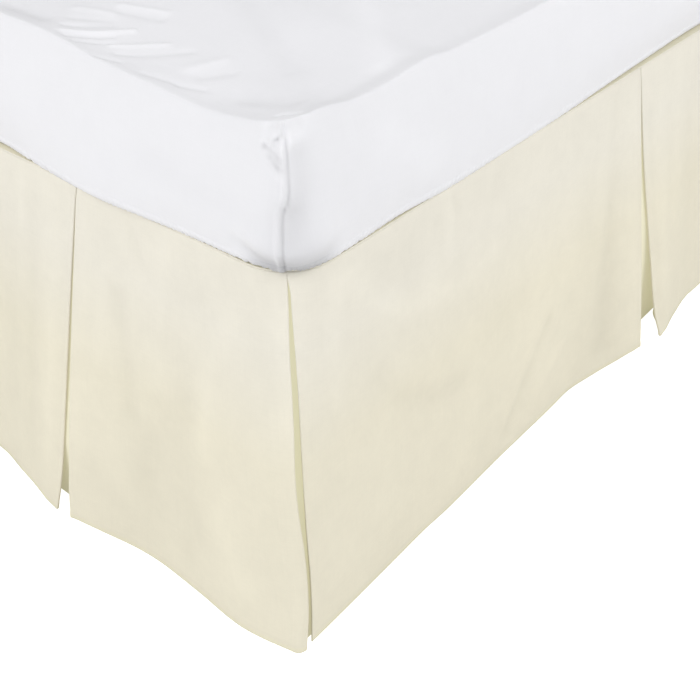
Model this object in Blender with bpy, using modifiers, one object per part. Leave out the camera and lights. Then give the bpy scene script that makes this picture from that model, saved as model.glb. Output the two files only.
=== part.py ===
"""Bed skirt on a single bed base, with the mattress that lies on it.

A flat deck of cloth lies between the base and the mattress. Three drops hang from the deck's edge:
one at the foot and one along each side. Each drop has inverted box pleats, and the drops part at
the two foot corners, where a folded underlay hangs behind the split. The head end is open.

Metres, +Z up. The foot of the bed faces -Y. The origin is on the floor, under the middle of the
whole. Distances along a drop start at its foot corner; the foot drop's start at the right corner.
"""

import math
from collections import namedtuple

import bmesh
import bpy

# Bed
BED_WIDTH = 0.900
BED_LENGTH = 1.900
FOOT_SHIFT = 0.048          # the foot drop leans out and the head end is bare, so the bed sits back
BASE_INSET = 0.010          # the base's sides, in from the mattress's
BASE_CORNER = 0.050         # of the base's and the deck's foot corners
HEAD_CORNER = 0.012         # and of their head corners
LEG_HEIGHT = 0.050
LEG_RADIUS = 0.030
LEG_INSET = 0.120

# Cloth
DECK_TOP = 0.400
CLOTH = 0.0015
SEAT_GAP = 0.0003           # between pieces that rest on each other
LAYER = 0.0025              # from one layer of a pleat to the next
EDGE_CLEARANCE = 0.002      # from the base's side to the innermost layer
HEM_HEIGHT = 0.006
PLEAT_DEPTH = 0.075         # how far each return reaches behind its panel
PLEAT_CLOSED = 0.05         # the share of the drop over which a pleat stays shut
PLEAT_SLACK = 0.0024        # from a pleat's middle line to the end of its panel, where it is shut
CORNER_AT_HEM = 0.010       # radius of a drop's turn round a foot corner, at the hem
CORNER_SPLIT = 0.0446       # how far each drop runs round the corner at the top, where they meet
UNDERLAY_REACH = 0.085      # of a corner underlay, each way from the corner
UNDERLAY_AT_HEM = 0.014     # radius of a corner underlay's turn at the hem

# Mattress
MATTRESS_HEIGHT = 0.160
MATTRESS_CORNER = 0.050
SIDE_DIP = 0.013            # the top is lower along the long edges than across its middle
DIP_REACH = 0.150
CORNER_PULL = 0.006         # the cover draws the sides in near the corners
PULL_REACH = 0.080

DROP_TOP = DECK_TOP - CLOTH - SEAT_GAP
INNER_LAYER = -BASE_INSET + EDGE_CLEARANCE + CLOTH / 2
OUTER_LAYER = INNER_LAYER + 2 * LAYER
CORNER_AT_TOP = BASE_CORNER + BASE_INSET + OUTER_LAYER

# A drop leans out as it falls. The hem's distance out from the mattress's side, along each drop.
Lean = namedtuple("Lean", "along out")
FOOT_LEAN = (
    Lean(-0.060, 0.072), Lean(0.020, 0.083), Lean(0.090, 0.079), Lean(0.190, 0.078),
    Lean(0.285, 0.093), Lean(0.315, 0.097), Lean(0.360, 0.089), Lean(0.460, 0.074),
    Lean(0.540, 0.080), Lean(0.603, 0.092), Lean(0.700, 0.078), Lean(0.800, 0.074),
    Lean(0.880, 0.081), Lean(0.960, 0.070),
)
RIGHT_LEAN = (
    Lean(-0.080, 0.053), Lean(0.030, 0.050), Lean(0.180, 0.045), Lean(0.270, 0.039),
    Lean(0.490, 0.035), Lean(0.546, 0.045), Lean(0.633, 0.061), Lean(0.671, 0.070),
    Lean(0.763, 0.054), Lean(0.900, 0.050), Lean(1.080, 0.040), Lean(1.200, 0.048),
    Lean(1.270, 0.063), Lean(1.380, 0.047), Lean(1.650, 0.039), Lean(1.900, 0.046),
)
LEFT_LEAN = (
    Lean(-0.080, 0.056), Lean(0.040, 0.052), Lean(0.200, 0.042), Lean(0.420, 0.040),
    Lean(0.560, 0.050), Lean(0.650, 0.066), Lean(0.760, 0.052), Lean(0.980, 0.041),
    Lean(1.170, 0.047), Lean(1.270, 0.062), Lean(1.400, 0.045), Lean(1.700, 0.042),
    Lean(1.900, 0.044),
)

# Soft folds that run down a panel: depth is at the hem, and start is the depth's share at the top.
Fold = namedtuple("Fold", "along width depth start")
FOOT_FOLDS = (
    Fold(0.352, 0.020, -0.005, 0.15), Fold(0.392, 0.022, 0.005, 0.10),
    Fold(0.150, 0.045, -0.003, 0.00), Fold(0.505, 0.025, 0.004, 0.10),
    Fold(0.760, 0.040, -0.004, 0.00),
)
RIGHT_FOLDS = (
    Fold(0.575, 0.026, -0.006, 0.25), Fold(0.410, 0.060, 0.003, 0.00),
    Fold(0.730, 0.024, -0.005, 0.15), Fold(0.800, 0.030, 0.004, 0.10),
    Fold(1.180, 0.035, -0.005, 0.20), Fold(1.520, 0.060, 0.005, 0.00),
)
LEFT_FOLDS = (
    Fold(0.300, 0.055, 0.004, 0.00), Fold(0.570, 0.030, -0.005, 0.20),
    Fold(0.850, 0.045, 0.004, 0.10), Fold(1.370, 0.030, -0.005, 0.15),
    Fold(1.600, 0.060, 0.004, 0.00),
)

# Pleats: drift is how far the slit's middle wanders by the hem, and back is the underlay's lean.
Pleat = namedtuple("Pleat", "along drift opening back")
FOOT_PLEATS = (Pleat(0.297, 0.0045, 0.023, 0.070), Pleat(0.603, -0.003, 0.020, 0.066))
RIGHT_PLEATS = (Pleat(0.641, 0.011, 0.038, 0.030), Pleat(1.268, 0.004, 0.024, 0.032))
LEFT_PLEATS = (Pleat(0.636, 0.006, 0.030, 0.030), Pleat(1.270, -0.003, 0.022, 0.032))

# A drop's end: the next drop's lean at that corner, and how far this one runs round it at the hem.
End = namedtuple("End", "neighbour reach_at_hem")
FOOT_END_RIGHT = End(0.055, 0.022)
FOOT_END_LEFT = End(0.056, 0.020)
RIGHT_END = End(0.076, -0.020)
LEFT_END = End(0.073, -0.018)
HEAD_END = End(None, 0.0)

Side = namedtuple("Side", "corner onward outward length")
HALF_WIDTH = BED_WIDTH / 2
HALF_LENGTH = BED_LENGTH / 2
FOOT_SIDE = Side((HALF_WIDTH, -HALF_LENGTH), (-1, 0), (0, -1), BED_WIDTH)
RIGHT_SIDE = Side((HALF_WIDTH, -HALF_LENGTH), (0, 1), (1, 0), BED_LENGTH)
LEFT_SIDE = Side((-HALF_WIDTH, -HALF_LENGTH), (0, 1), (-1, 0), BED_LENGTH)

Drop = namedtuple("Drop", "name side lean folds pleats near far")
DROPS = (
    Drop("foot_drop", FOOT_SIDE, FOOT_LEAN, FOOT_FOLDS, FOOT_PLEATS, FOOT_END_RIGHT, FOOT_END_LEFT),
    Drop("side_drop_right", RIGHT_SIDE, RIGHT_LEAN, RIGHT_FOLDS, RIGHT_PLEATS, RIGHT_END, HEAD_END),
    Drop("side_drop_left", LEFT_SIDE, LEFT_LEAN, LEFT_FOLDS, LEFT_PLEATS, LEFT_END, HEAD_END),
)

# Corner underlays: how far each hangs out at the hem, below the foot's edge and below the side's.
Underlay = namedtuple("Underlay", "name across foot_out side_out")
UNDERLAYS = (
    Underlay("corner_underlay_right", 1, 0.048, 0.030),
    Underlay("corner_underlay_left", -1, 0.046, 0.031),
)

# Rows down the cloth, as shares of the drop, and columns near a panel's end at a corner
FALL_ROWS = (0.0, 0.05, 0.20, 0.38, 0.56, 0.74, 0.90, 1.0)
CORNER_STEPS = (0.0, 0.005, 0.010, 0.015, 0.022, 0.032, 0.046, 0.065)
PANEL_STEP = 0.050

# Mattress rings from the middle of the underside to the middle of the top
Ring = namedtuple("Ring", "inset height")
MATTRESS_RINGS = (
    Ring(0.010, 0.000), Ring(-0.002, 0.005), Ring(-0.006, 0.018), Ring(-0.008, 0.050),
    Ring(-0.007, 0.100), Ring(-0.003, 0.138), Ring(0.003, 0.153), Ring(0.014, 0.160),
    Ring(0.080, 0.163), Ring(0.200, 0.165), Ring(0.320, 0.1655),
)
OUTLINE_STEP = 0.110


def mix(start, end, share):
    return start + (end - start) * share


def smooth(share):
    return share * share * (3 - 2 * share)


def through(rows, along):
    """A smooth curve through the rows' second column, read at a place in their first."""
    places = [row[0] for row in rows]
    along = min(max(along, places[0]), places[-1])
    last = len(rows) - 2
    i = min(sum(place <= along for place in places) - 1, last)

    def slope(k):
        before, after = rows[max(k - 1, 0)], rows[min(k + 1, last + 1)]
        return (after[1] - before[1]) / (after[0] - before[0])

    span = places[i + 1] - places[i]
    t = (along - places[i]) / span
    rise = rows[i + 1][1] - rows[i][1]
    bend = (1 - t) * (slope(i) * span - rise) + t * (rise - slope(i + 1) * span)
    return rows[i][1] + t * rise + t * (1 - t) * bend


def panel_out(drop, along, fall):
    """How far out a panel's cloth hangs, at a place along its drop and a share of its fall."""
    out = mix(OUTER_LAYER, through(drop.lean, along), fall)
    for fold in drop.folds:
        bell = math.exp(-((along - fold.along) / fold.width) ** 2)
        out += fold.depth * bell * mix(fold.start, 1, fall) * min(fall / PLEAT_CLOSED, 1)
    return out


def corner_curve(end, fall):
    """Where the curve round a corner starts, from that corner, and its radius."""
    if end.neighbour is None:
        return 0.0, 0.0
    radius = mix(CORNER_AT_TOP, CORNER_AT_HEM, fall)
    return radius - mix(OUTER_LAYER, end.neighbour, fall), radius


def bend(past, radius):
    """Steps along and inward for a run of cloth that has gone past the start of a corner's curve."""
    angle = min(past / radius, math.pi / 2)
    tail = max(past - radius * math.pi / 2, 0)
    return radius * math.sin(angle), radius * (1 - math.cos(angle)) + tail


def panel_point(drop, run, fall):
    """A point on the panels' line in plan. Past a corner's curve, run is measured round it."""
    length = drop.side.length
    near_start, near_radius = corner_curve(drop.near, fall)
    far_start, far_radius = corner_curve(drop.far, fall)
    if run < near_start:
        onward, inward = bend(near_start - run, near_radius)
        return near_start - onward, panel_out(drop, near_start, fall) - inward
    if run > length - far_start:
        onward, inward = bend(run - length + far_start, far_radius)
        edge = length - far_start
        return edge + onward, panel_out(drop, edge, fall) - inward
    return run, panel_out(drop, run, fall)


def pleat_edges(pleat, fall):
    """The ends of the two panels that meet at a pleat."""
    middle = pleat.along + pleat.drift * fall
    parted = max(fall - PLEAT_CLOSED, 0) / (1 - PLEAT_CLOSED)
    half = PLEAT_SLACK + pleat.opening * parted / 2
    return middle - half, middle + half


def pleat_points(drop, pleat, fall):
    """Round one panel's edge, back behind it, across the underlay, and out to the next panel."""
    back = mix(INNER_LAYER, pleat.back, fall)
    turn = LAYER / 2

    def half_pleat(edge, toward):
        inner = pleat.along + toward * PLEAT_DEPTH
        points = [(edge - toward * turn, panel_out(drop, edge, fall) - turn)]
        for share in (0.0, 0.35, 0.7, 1.0):
            along = mix(edge, inner, share)
            behind_panel = panel_out(drop, along, fall) - LAYER
            points.append((along, mix(behind_panel, back + LAYER, smooth(share))))
        points.append((inner + toward * turn, back + turn))
        return points

    left_edge, right_edge = pleat_edges(pleat, fall)
    left, right = pleat.along - PLEAT_DEPTH, pleat.along + PLEAT_DEPTH
    underlay = [(mix(left, right, share), back) for share in (0.0, 0.25, 0.5, 0.75, 1.0)]
    return half_pleat(left_edge, -1) + underlay + half_pleat(right_edge, 1)[::-1]


def drop_runs(drop, fall):
    """Start and end of each panel along the drop, at one share of the fall."""
    ends = []
    for end in (drop.near, drop.far):
        start, radius = corner_curve(end, fall)
        top_reach = CORNER_SPLIT if radius else 0.0
        ends.append(start - mix(top_reach, end.reach_at_hem, fall))
    marks = [ends[0]]
    for pleat in drop.pleats:
        marks += pleat_edges(pleat, fall)
    marks.append(drop.side.length - ends[1])
    return list(zip(marks[0::2], marks[1::2]))


def panel_columns(drop, index, start, end):
    """Places along one panel, closer together where it runs round a corner."""
    first = CORNER_STEPS if index == 0 and drop.near.neighbour is not None else (0.0,)
    last = CORNER_STEPS if index == len(drop.pleats) and drop.far.neighbour is not None else (0.0,)
    design_start, design_end = drop_runs(drop, 0.0)[index]
    count = max(round((design_end - design_start - first[-1] - last[-1]) / PANEL_STEP), 2)
    low, high = start + first[-1], end - last[-1]
    middle = [mix(low, high, i / count) for i in range(1, count)]
    return [start + step for step in first] + middle + [end - step for step in reversed(last)]


def drop_line(drop, fall):
    """The whole line of the drop's cloth in plan, from one end to the other."""
    line = []
    for index, (start, end) in enumerate(drop_runs(drop, fall)):
        line += [panel_point(drop, run, fall) for run in panel_columns(drop, index, start, end)]
        if index < len(drop.pleats):
            line += pleat_points(drop, drop.pleats[index], fall)
    return line


def in_plan(side, along, out):
    """Bed coordinates of a point along a side and out from it."""
    return tuple(side.corner[k] + along * side.onward[k] + out * side.outward[k] for k in (0, 1))


def underlay_line(underlay, fall):
    """A corner underlay in plan, from the foot's edge round the corner to the side's edge."""
    radius = mix(BASE_CORNER + BASE_INSET + INNER_LAYER, UNDERLAY_AT_HEM, fall)
    foot_out = mix(INNER_LAYER, underlay.foot_out, fall)
    side_out = mix(INNER_LAYER, underlay.side_out, fall)
    centre_x = HALF_WIDTH + side_out - radius
    centre_y = -HALF_LENGTH - foot_out + radius
    end_x, end_y = HALF_WIDTH - UNDERLAY_REACH, -HALF_LENGTH + UNDERLAY_REACH
    line = [(mix(end_x, centre_x, share), centre_y - radius) for share in (0.0, 0.5)]
    for degrees in (0, 22.5, 45, 67.5, 90):
        angle = math.radians(degrees)
        line.append((centre_x + radius * math.sin(angle), centre_y - radius * math.cos(angle)))
    line += [(centre_x + radius, mix(centre_y, end_y, share)) for share in (0.5, 1.0)]
    return [(underlay.across * x, y) for x, y in line]


def hang(name, line_at, parts, cloth):
    """Hang a sheet: one line of cloth in plan for each row of the fall, then its thickness."""
    grid = bmesh.new()
    rows = []
    for fall in FALL_ROWS:
        height = mix(DROP_TOP, HEM_HEIGHT, fall)
        rows.append([grid.verts.new((x, y, height)) for x, y in line_at(fall)])
    for upper, lower in zip(rows, rows[1:]):
        for i in range(len(upper) - 1):
            grid.faces.new((upper[i], lower[i], lower[i + 1], upper[i + 1]))
    sheet = add_mesh(name, grid, parts, cloth)
    thickness = sheet.modifiers.new("cloth", "SOLIDIFY")
    thickness.thickness = CLOTH
    thickness.offset = 0
    thickness.use_even_offset = True
    return sheet


def outline(inset, head_corner, foot_corner, step=None):
    """Points round a rectangle with rounded corners, set in from the mattress's outline."""
    half_x, half_y = HALF_WIDTH - inset, HALF_LENGTH - inset
    points = []
    for sign_x, sign_y, first in ((1, 1, 0), (-1, 1, 90), (-1, -1, 180), (1, -1, 270)):
        corner = head_corner if sign_y > 0 else foot_corner
        centre_x, centre_y = sign_x * (half_x - corner), sign_y * (half_y - corner)
        for degrees in (0, 22.5, 45, 67.5, 90):
            angle = math.radians(first + degrees)
            points.append((centre_x + corner * math.cos(angle), centre_y + corner * math.sin(angle)))
    if step is None:
        return points
    spaced = []
    for i, (x, y) in enumerate(points):
        next_x, next_y = points[(i + 1) % len(points)]
        count = max(round(math.hypot(next_x - x, next_y - y) / step), 1)
        spaced += [(mix(x, next_x, k / count), mix(y, next_y, k / count)) for k in range(count)]
    return spaced


def mattress_point(x, y, height):
    """The cover draws the sides in near each corner, and the top is lower along the long edges."""
    from_corner = math.hypot(HALF_WIDTH - abs(x), HALF_LENGTH - abs(y))
    pull = CORNER_PULL * math.exp(-from_corner / PULL_REACH)
    dip = SIDE_DIP * math.exp(-(HALF_WIDTH - abs(x)) / DIP_REACH) * smooth(height / MATTRESS_HEIGHT)
    x -= math.copysign(pull, x)
    y -= math.copysign(pull, y)
    return x, y, DECK_TOP + SEAT_GAP + height - dip


def make_mattress(parts, cloth):
    """Rings of one rounded outline, let in under the edges and crowned on top."""
    body = bmesh.new()
    rings = []
    for ring in MATTRESS_RINGS:
        height = min(ring.height, MATTRESS_HEIGHT)
        crown = ring.height - height
        around = []
        for x, y in outline(0.0, MATTRESS_CORNER, MATTRESS_CORNER, OUTLINE_STEP):
            share_x = 1 - ring.inset / HALF_WIDTH
            share_y = 1 - ring.inset / HALF_LENGTH
            px, py, pz = mattress_point(x * share_x, y * share_y, height)
            around.append(body.verts.new((px, py, pz + crown)))
        rings.append(around)
    count = len(rings[0])
    for lower, upper in zip(rings, rings[1:]):
        for i in range(count):
            j = (i + 1) % count
            body.faces.new((lower[i], lower[j], upper[j], upper[i]))
    body.faces.new(rings[0][::-1])
    body.faces.new(rings[-1])
    return add_mesh("mattress", body, parts, cloth)


def add_mesh(name, shape, parts, finish):
    mesh = bpy.data.meshes.new(name)
    shape.to_mesh(mesh)
    shape.free()
    mesh.materials.append(finish)
    mesh.shade_smooth()
    piece = bpy.data.objects.new(name, mesh)
    parts.objects.link(piece)
    return piece


def make_slab(name, points, low, high, parts, finish):
    """A flat outline with straight sides, between two heights."""
    curve = bpy.data.curves.new(name, "CURVE")
    curve.dimensions = "2D"
    curve.fill_mode = "BOTH"
    curve.extrude = (high - low) / 2
    spline = curve.splines.new("POLY")
    spline.points.add(len(points) - 1)
    spline.use_cyclic_u = True
    for place, (x, y) in zip(spline.points, points):
        place.co = (x, y, 0, 1)
    curve.materials.append(finish)
    slab = bpy.data.objects.new(name, curve)
    slab.location.z = (low + high) / 2
    parts.objects.link(slab)
    return slab


def make_legs(parts, finish):
    """Three short legs down each long side of the base."""
    reach_x = HALF_WIDTH - LEG_INSET
    reach_y = HALF_LENGTH - LEG_INSET
    legs = []
    for x in (-reach_x, reach_x):
        for y in (-reach_y, 0.0, reach_y):
            bpy.ops.mesh.primitive_cylinder_add(
                vertices=24, radius=LEG_RADIUS, depth=LEG_HEIGHT, location=(x, y, LEG_HEIGHT / 2)
            )
            leg = bpy.context.active_object
            leg.name = f"base_leg_{len(legs) + 1}"
            leg.data.name = leg.name
            leg.data.materials.append(finish)
            for home in list(leg.users_collection):
                home.objects.unlink(leg)
            parts.objects.link(leg)
            legs.append(leg)
    return legs


def finish_named(name, colour, roughness):
    finish = bpy.data.materials.new(name)
    finish.use_nodes = True
    shader = finish.node_tree.nodes["Principled BSDF"]
    shader.inputs["Base Color"].default_value = (*colour, 1)
    shader.inputs["Roughness"].default_value = roughness
    shader.inputs["Metallic"].default_value = 0
    finish.diffuse_color = (*colour, 1)
    return finish


def main():
    for old in list(bpy.data.objects):
        bpy.data.objects.remove(old)
    parts = bpy.data.collections.new("bed_skirt")
    bpy.context.scene.collection.children.link(parts)

    cream = finish_named("cream_cotton", (0.80, 0.77, 0.65), 0.85)
    white = finish_named("white_cotton", (0.83, 0.83, 0.86), 0.80)
    ticking = finish_named("base_ticking", (0.52, 0.50, 0.46), 0.90)
    beech = finish_named("leg_wood", (0.42, 0.27, 0.15), 0.50)

    base_outline = outline(BASE_INSET, HEAD_CORNER, BASE_CORNER)
    base_low = LEG_HEIGHT + SEAT_GAP
    deck_inset = -OUTER_LAYER - CLOTH / 2
    deck_outline = outline(deck_inset, HEAD_CORNER, CORNER_AT_TOP + CLOTH / 2)
    pieces = make_legs(parts, beech)
    pieces.append(make_slab("bed_base", base_outline, base_low, DROP_TOP, parts, ticking))
    pieces.append(
        make_slab("skirt_deck", deck_outline, DECK_TOP - CLOTH, DECK_TOP, parts, cream)
    )
    pieces.append(make_mattress(parts, white))
    for drop in DROPS:
        def line_at(fall, drop=drop):
            return [in_plan(drop.side, along, out) for along, out in drop_line(drop, fall)]

        pieces.append(hang(drop.name, line_at, parts, cream))
    for underlay in UNDERLAYS:
        def line_at(fall, underlay=underlay):
            return underlay_line(underlay, fall)

        pieces.append(hang(underlay.name, line_at, parts, cream))

    middle = bpy.data.objects.new("bed_middle", None)
    middle.location = (0, FOOT_SHIFT, 0)
    parts.objects.link(middle)
    for piece in pieces:
        piece.parent = middle


main()
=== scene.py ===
# %% [markdown]
# # A bed skirt with box pleats, on a single bed
# A bed skirt hides the base of a bed. A flat deck of cloth lies under the mattress, and three drops
# hang from its edge, each folded into inverted box pleats. At the two foot corners the drops part,
# and a folded underlay closes the gap behind them.
#
# The solids of the bed and the cloth come packed, in metres, with the foot of the bed towards -Y.
# They are loaded once and never changed. Each cell below makes one piece, or one finish, finer.

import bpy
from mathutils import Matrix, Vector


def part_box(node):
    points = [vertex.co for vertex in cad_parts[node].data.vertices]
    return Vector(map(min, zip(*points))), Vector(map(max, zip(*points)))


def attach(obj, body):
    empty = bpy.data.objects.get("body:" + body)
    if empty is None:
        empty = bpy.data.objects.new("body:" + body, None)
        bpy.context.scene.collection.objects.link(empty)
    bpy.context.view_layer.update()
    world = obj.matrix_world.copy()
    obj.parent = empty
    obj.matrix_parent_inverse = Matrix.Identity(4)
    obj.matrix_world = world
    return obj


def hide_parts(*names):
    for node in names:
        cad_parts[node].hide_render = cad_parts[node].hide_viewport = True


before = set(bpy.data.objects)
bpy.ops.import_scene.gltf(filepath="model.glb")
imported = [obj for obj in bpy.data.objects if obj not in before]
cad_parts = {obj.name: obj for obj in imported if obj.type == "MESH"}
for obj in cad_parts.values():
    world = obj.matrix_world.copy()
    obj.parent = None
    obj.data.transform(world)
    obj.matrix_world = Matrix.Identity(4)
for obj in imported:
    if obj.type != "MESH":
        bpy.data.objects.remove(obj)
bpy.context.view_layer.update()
print("nodes:", ", ".join(sorted(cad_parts)))

# %% Blender's modules, and the tools of Python that the lesson uses
import math
from collections import namedtuple

import bmesh
import bpy
import numpy as np
from mathutils import Matrix, Vector, noise

scene = bpy.context.scene

# %% [markdown]
# ## The bed's driving sizes
# The base's sides are set in a little from the mattress's, so the mattress's plan is read from the
# packed base. Every place further down is given from one of its foot corners.

# %% Sizes read from the frame
BASE_INSET = 0.010
base_low, base_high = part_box("bed_base")
HALF_WIDTH = base_high.x + BASE_INSET
FOOT_EDGE = base_low.y - BASE_INSET
HEAD_EDGE = base_high.y + BASE_INSET
HALF_LENGTH = (HEAD_EDGE - FOOT_EDGE) / 2
MIDDLE_Y = (HEAD_EDGE + FOOT_EDGE) / 2
DECK_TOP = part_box("skirt_deck")[1].z
DROP_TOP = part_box("foot_drop")[1].z
HEM_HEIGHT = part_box("foot_drop")[0].z
DROP_LENGTH = DROP_TOP - HEM_HEIGHT
print(f"bed {2 * HALF_WIDTH:.3f} x {2 * HALF_LENGTH:.3f} m, drop {DROP_LENGTH:.3f} m")

# %% [markdown]
# ## The camera
# The picture looks down at the right foot corner from a little over a metre away. A camera matrix is
# built from three directions: back towards the camera, right, and up. The lens comes from the focal
# length in pixels, since a square picture 700 pixels wide fills the sensor's 36 mm.

# %% Place the camera
SENSOR_WIDTH = 36.0
PICTURE_SIDE = 700
FOCAL_PIXELS = 1136.8
CAMERA_AZIMUTH = math.radians(40.804)
CAMERA_ELEVATION = math.radians(36.356)
CAMERA_ROLL = math.radians(-0.885)
CAMERA_DISTANCE = 1.269
AIM_FROM_CORNER = Vector((-0.076, 0.165, 0.200))


def direction(azimuth, elevation):
    """From the bed towards a place round it: azimuth 0 is off the foot, 90 degrees is to the right."""
    level = math.cos(elevation)
    return Vector((math.sin(azimuth) * level, -math.cos(azimuth) * level, math.sin(elevation)))


def facing(place, back, roll=0.0):
    """A matrix at a place whose -Z looks along the opposite of back."""
    right = Vector((0, 0, 1)).cross(back).normalized()
    up = back.cross(right)
    rolled_right = math.cos(roll) * right + math.sin(roll) * up
    rolled_up = math.cos(roll) * up - math.sin(roll) * right
    turned = Matrix((rolled_right, rolled_up, back)).transposed().to_4x4()
    return Matrix.Translation(place) @ turned


foot_corner = Vector((HALF_WIDTH, FOOT_EDGE, 0))
aim = foot_corner + AIM_FROM_CORNER
towards_camera = direction(CAMERA_AZIMUTH, CAMERA_ELEVATION)
camera = bpy.data.objects.new("camera", bpy.data.cameras.new("camera"))
camera.data.sensor_width = SENSOR_WIDTH
camera.data.lens = SENSOR_WIDTH * FOCAL_PIXELS / PICTURE_SIDE
camera.matrix_world = facing(aim + CAMERA_DISTANCE * towards_camera, towards_camera, CAMERA_ROLL)
scene.collection.objects.link(camera)
scene.camera = camera
print(f"lens {camera.data.lens:.1f} mm, camera at {tuple(round(x, 3) for x in camera.location)}")

# %% [markdown]
# ## Soft studio light
# Both sides of the corner are equally bright, and the mattress's corner between them is a little
# darker. So the light comes from two wide soft boxes, one facing each side. Hardly any comes from the
# camera's own side, and a last weak box fills in from behind and above. The Standard view transform
# keeps the near-whites white, where a film-like one would turn them grey.

# %% Light the studio
SoftBox = namedtuple("SoftBox", "name azimuth elevation distance side power")
SOFT_BOXES = (
    SoftBox("foot_light", -15, 35, 3.2, 2.2, 56.0),
    SoftBox("side_light", 110, 35, 3.2, 2.2, 53.0),
    SoftBox("front_light", 47, 12, 3.2, 2.2, 6.0),
    SoftBox("back_light", 200, 60, 3.2, 2.2, 12.0),
)
ROOM_LIGHT = 0.42

for box in SOFT_BOXES:
    lamp = bpy.data.objects.new(box.name, bpy.data.lights.new(box.name, "AREA"))
    lamp.data.size = box.side
    lamp.data.energy = box.power
    back = direction(math.radians(box.azimuth), math.radians(box.elevation))
    lamp.matrix_world = facing(aim + box.distance * back, back)
    scene.collection.objects.link(lamp)

room = bpy.data.worlds.new("room")
room.use_nodes = True
room.node_tree.nodes["Background"].inputs["Color"].default_value = (1, 1, 1, 1)
room.node_tree.nodes["Background"].inputs["Strength"].default_value = ROOM_LIGHT
scene.world = room
scene.view_settings.view_transform = "Standard"
scene.view_settings.look = "None"
print("lights:", ", ".join(box.name for box in SOFT_BOXES))

# %% [markdown]
# ## The floor
# A plain pale floor, as white as paper right up to the hem. Its glow is only for eyes: a Light Path
# node keeps it from lighting the cloth from below, which would wash out the folds near the hem.

# %% Lay the floor
FLOOR_SIDE = 24.0
FLOOR_GLOW = 1.0

bpy.ops.mesh.primitive_plane_add(size=FLOOR_SIDE, location=(0, 0, 0))
floor = bpy.context.active_object
floor.name = "studio_floor"
floor_finish = bpy.data.materials.new("studio_floor")
floor_finish.use_nodes = True
floor_shader = floor_finish.node_tree.nodes["Principled BSDF"]
floor_shader.inputs["Base Color"].default_value = (0.88, 0.88, 0.88, 1)
floor_shader.inputs["Roughness"].default_value = 0.9
floor_shader.inputs["Emission Color"].default_value = (1, 1, 1, 1)
seen = floor_finish.node_tree.nodes.new("ShaderNodeLightPath")
glow = floor_finish.node_tree.nodes.new("ShaderNodeMath")
glow.operation = "MULTIPLY"
glow.inputs[1].default_value = FLOOR_GLOW
floor_finish.node_tree.links.new(seen.outputs["Is Camera Ray"], glow.inputs[0])
floor_finish.node_tree.links.new(glow.outputs[0], floor_shader.inputs["Emission Strength"])
floor.data.materials.append(floor_finish)
print("floor", FLOOR_SIDE, "m wide")

# %% [markdown]
# ## Helpers for nodes
# A shader is a chain of nodes. One small function adds a node, sets it up and feeds its inputs in
# order, so that a material reads like a sum. What several cloths share becomes a node group, with
# named sockets that each material sets for itself.

# %% Add nodes, groups and materials
def node(tree, kind, *inputs, out=0, **settings):
    """Add a node, feed its inputs in order with sockets or values, and give back one output."""
    made = tree.nodes.new(kind)
    for key, value in settings.items():
        setattr(made, key, value)
    for socket, value in zip(made.inputs, inputs):
        if isinstance(value, bpy.types.NodeSocket):
            tree.links.new(value, socket)
        elif value is not None:
            socket.default_value = value
    return made.outputs[out]


def calc(tree, operation, *inputs):
    return node(tree, "ShaderNodeMath", *inputs, operation=operation)


def new_group(name, inputs, outputs):
    """A node group with float inputs, each with its first value, and float outputs."""
    group = bpy.data.node_groups.new(name, "ShaderNodeTree")
    for label, value in inputs.items():
        socket = group.interface.new_socket(label, in_out="INPUT", socket_type="NodeSocketFloat")
        socket.default_value = value
    for label in outputs:
        group.interface.new_socket(label, in_out="OUTPUT", socket_type="NodeSocketFloat")
    return group, group.nodes.new("NodeGroupInput").outputs, group.nodes.new("NodeGroupOutput").inputs


def use_group(tree, group, **values):
    """Place a group in a material with its own values, and give back its outputs by name."""
    placed = tree.nodes.new("ShaderNodeGroup")
    placed.node_tree = group
    for label, value in values.items():
        placed.inputs[label.replace("_", " ")].default_value = value
    return placed.outputs


def cloth_place(tree):
    """Where a point lies on the flat cloth, in metres: along it and up from its hem."""
    spot = node(tree, "ShaderNodeUVMap", uv_map="cloth")
    parts = tree.nodes.new("ShaderNodeSeparateXYZ")
    tree.links.new(spot, parts.inputs[0])
    return parts.outputs["X"], parts.outputs["Y"]


print("node helpers ready")

# %% [markdown]
# ## Weave
# The cloth is a plain weave of fine cotton: each thread passes over one crossing and under the next.
# The product of two sine waves, one along each thread system, rises and falls in just that order.

# %% A group for the plain weave
def make_weave():
    group, given, gives = new_group("plain weave", {"Threads per metre": 2400.0}, ("Height",))
    along, up = cloth_place(group)
    waves = []
    for place in (along, up):
        phase = calc(group, "MULTIPLY", calc(group, "MULTIPLY", place, given[0]), math.pi)
        waves.append(calc(group, "SINE", phase))
    over = calc(group, "MULTIPLY", *waves)
    group.links.new(calc(group, "MULTIPLY_ADD", over, 0.5, 0.5), gives["Height"])
    return group


weave = make_weave()
print("group:", weave.name)

# %% [markdown]
# ## Slubs
# No thread is even. Thick and thin places make faint streaks along both thread systems, a
# millimetre or so wide and a few centimetres long. Two noises, each stretched along its own threads,
# give them.

# %% A group for the slubs
def make_slubs():
    group, given, gives = new_group(
        "thread slubs", {"Streaks per metre": 620.0, "Breaks per metre": 26.0}, ("Shade",)
    )
    along, up = cloth_place(group)
    streaks = []
    for fine, long in ((along, up), (up, along)):
        x = calc(group, "MULTIPLY", fine, given["Streaks per metre"])
        y = calc(group, "MULTIPLY", long, given["Breaks per metre"])
        spot = node(group, "ShaderNodeCombineXYZ", x, y, 0.0)
        streaks.append(node(group, "ShaderNodeTexNoise", spot, None, 1.0, 2.0, noise_dimensions="2D"))
    total = calc(group, "ADD", *streaks)
    group.links.new(calc(group, "MULTIPLY", total, 0.5), gives["Shade"])
    return group


slubs = make_slubs()
print("group:", slubs.name)

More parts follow.
